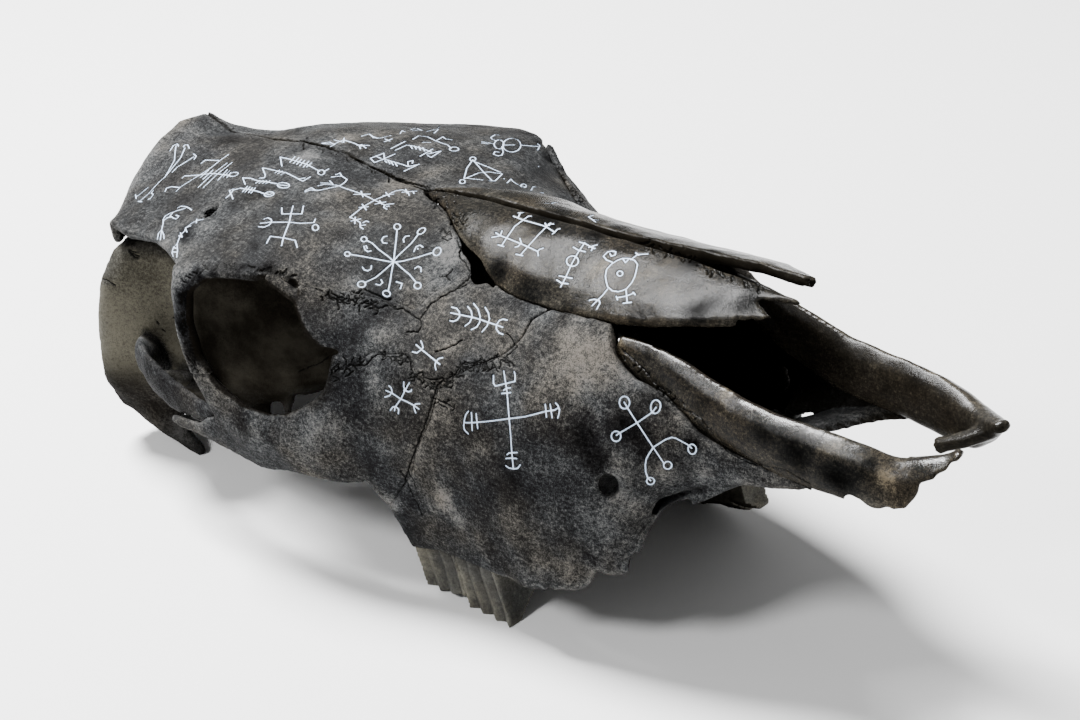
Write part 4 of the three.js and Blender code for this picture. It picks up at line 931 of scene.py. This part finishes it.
def stained(name, stops, roughness, spread, speckle, gloss, pits):
    material = bpy.data.materials.new(name)
    material.use_nodes = True
    tree = material.node_tree
    shader = tree.nodes["Principled BSDF"]
    place = add(tree, "ShaderNodeTexCoord").outputs["Object"]

    def value(kind, first, second, third=0.0):
        return add(tree, "ShaderNodeMath", {0: first, 1: second, 2: third}, operation=kind).outputs[0]

    def pattern(scale, detail, vector=place, rough=0.6):
        made = add(tree, "ShaderNodeTexNoise", {
            "Vector": vector, "Scale": scale, "Detail": detail, "Roughness": rough})
        return made.outputs["Fac"]

    def held(socket, low, high, start=0.0, end=1.0):
        made = add(tree, "ShaderNodeMapRange", {
            "Value": socket, "From Min": low, "From Max": high, "To Min": start, "To Max": end})
        return made.outputs["Result"]

    def attribute(label):
        return add(tree, "ShaderNodeAttribute", attribute_name=label).outputs["Fac"]

    def mixed(amount, first, second, way="MIX"):
        made = add(tree, "ShaderNodeMix", {0: amount, 6: first, 7: second}, data_type="RGBA", blend_type=way)
        return made.outputs[2]

    along = add(tree, "ShaderNodeMapping", {"Vector": place, "Scale": (1.0, 0.22, 1.0)}).outputs["Vector"]
    patches = pattern(16.0, 4.0)
    mottle = pattern(60.0, 6.0)
    pores = pattern(700.0, 3.0)
    grain = pattern(1900.0, 3.0, rough=0.75)
    fibre = pattern(900.0, 3.0, along)
    # The tone carries rubbed wear together with the painted highlights and shade
    tone = attribute("wear_and_painted_light")
    for texture, share in ((patches, 0.38), (mottle, 0.24), (grain, speckle * 1.2),
                           (pores, speckle * 0.8), (fibre, speckle * 0.5)):
        tone = value("MULTIPLY_ADD", held(texture, 0.3, 0.7, -0.5, 0.5), share, tone)
    colours = add(tree, "ShaderNodeValToRGB", {"Fac": tone})
    ends = colours.color_ramp.elements
    ends[0].position, ends[1].position = stops[0][0], stops[-1][0]
    ends[0].color, ends[1].color = linear(stops[0][1]), linear(stops[-1][1])
    for position, shade in stops[1:-1]:
        ends.new(position).color = linear(shade)
    colour = colours.outputs["Color"]
    colour = mixed(held(pattern(28.0, 3.0), 0.42, 0.62), colour, linear(WARM), "MULTIPLY")
    tanned = value("MULTIPLY", attribute("tan"), held(tone, 0.15, 0.6, 0.35, 0.9))
    colour = mixed(tanned, colour, linear(TAN))
    # Hollows, eye sockets and undersides go near black: deeper stain with painted shade
    stain_and_shade_share = value("MULTIPLY", attribute("deep_stain_and_shade"), held(mottle, 0.4, 0.65, 0.97, 0.82))
    colour = mixed(stain_and_shade_share, colour, linear(HOLLOW_STAIN_AND_SHADE))
    crack = value("MULTIPLY_ADD", grain, 0.5, attribute("crack_gap"))
    colour = mixed(held(crack, 0.45, 0.62, 1.0, 0.0), colour, linear(SOOT))
    frayed = value("MULTIPLY_ADD", grain, 0.35, attribute("sign_gap"))
    paint = held(frayed, 0.38, 0.5, 1.0, 0.0)
    tree.links.new(value("MULTIPLY", attribute("polish"), gloss), shader.inputs["Specular IOR Level"])
    colour = mixed(paint, colour, linear(SIGN_PALE))
    tree.links.new(colour, shader.inputs["Base Color"])
    matt = value("MULTIPLY_ADD", paint, 0.4, held(mottle, 0.3, 0.7, roughness - spread, roughness + spread))
    tree.links.new(matt, shader.inputs["Roughness"])
    height = value("MULTIPLY_ADD", fibre, 0.4, value("ADD", grain, pores))
    bump = add(tree, "ShaderNodeBump", {"Height": height, "Strength": pits, "Distance": 0.5 * MM})
    tree.links.new(bump.outputs["Normal"], shader.inputs["Normal"])
    return material


STAINED = stained("matt_stained_bone", [
    (0.0, "#040404"), (0.3, "#121213"), (0.55, "#252627"), (0.8, "#464747"), (1.0, "#605f5e")],
    roughness=0.5, spread=0.1, speckle=0.5, gloss=0.07, pits=1.0)
POLISHED = stained("satin_stained_bone", [
    (0.0, "#030303"), (0.3, "#0d0d0c"), (0.6, "#23211d"), (0.85, "#3d3a33"), (1.0, "#565146")],
    roughness=0.24, spread=0.07, speckle=0.45, gloss=0.4, pits=0.22)
TOOTH = stained("stained_enamel", [
    (0.1, "#141414"), (0.45, "#3e3e3c"), (0.7, "#5e5e58"), (1.0, "#908f86")],
    roughness=0.4, spread=0.08, speckle=0.2, gloss=0.3, pits=0.6)

SLOTS = {"nasal": ("polished_bone", POLISHED), "premaxilla": ("polished_bone", POLISHED),
         "molar": ("tooth", TOOTH)}
for name, piece in bones.items():
    slot, material = next((SLOTS[k] for k in SLOTS if k in name), ("stained_bone", STAINED))
    piece.data.materials.clear()
    piece.data.materials.append(material)
print("materials:", [m.name for m in (STAINED, POLISHED, TOOTH)])

# %% [markdown]
# ## Floor and light
# The photographer used white paper and soft light from above. One soft light stands high behind
# the skull, so the tops shine and the sides fall dark. A small one on the near side draws the
# bright line along the snout, and the pale floor throws the rest back up.

# %% Floor and light
bpy.ops.object.select_all(action="DESELECT")
bpy.ops.mesh.primitive_plane_add(size=12, location=(0, 0, 0))
floor = bpy.context.object
floor.name = "floor"
paper = bpy.data.materials.new("white_paper")
paper.use_nodes = True
paper_inputs = paper.node_tree.nodes["Principled BSDF"].inputs
paper_inputs["Base Color"].default_value = (0.93, 0.93, 0.93, 1)
paper_inputs["Roughness"].default_value = 0.9
floor.data.materials.append(paper)

world = bpy.data.worlds.new("studio")
world.use_nodes = True
sky_inputs = world.node_tree.nodes["Background"].inputs
sky_inputs["Color"].default_value = (1, 1, 1, 1)
sky_inputs["Strength"].default_value = 0.3
bpy.context.scene.world = world


def softbox(name, place, aim, size, watts):
    light = bpy.data.lights.new(name, "AREA")
    light.shape = "DISK"
    light.size = size
    light.energy = watts
    lamp = placed(name, light)
    lamp.location = place
    lamp.rotation_euler = (Vector(aim) - Vector(place)).to_track_quat("-Z", "Y").to_euler()


AIM = (0, 0, 0.08)
softbox("back_softbox", (-0.08, 0.92, 1.74), AIM, size=0.7, watts=175)
softbox("side_softbox", (-1.32, 0.2, 1.3), AIM, size=0.4, watts=24)
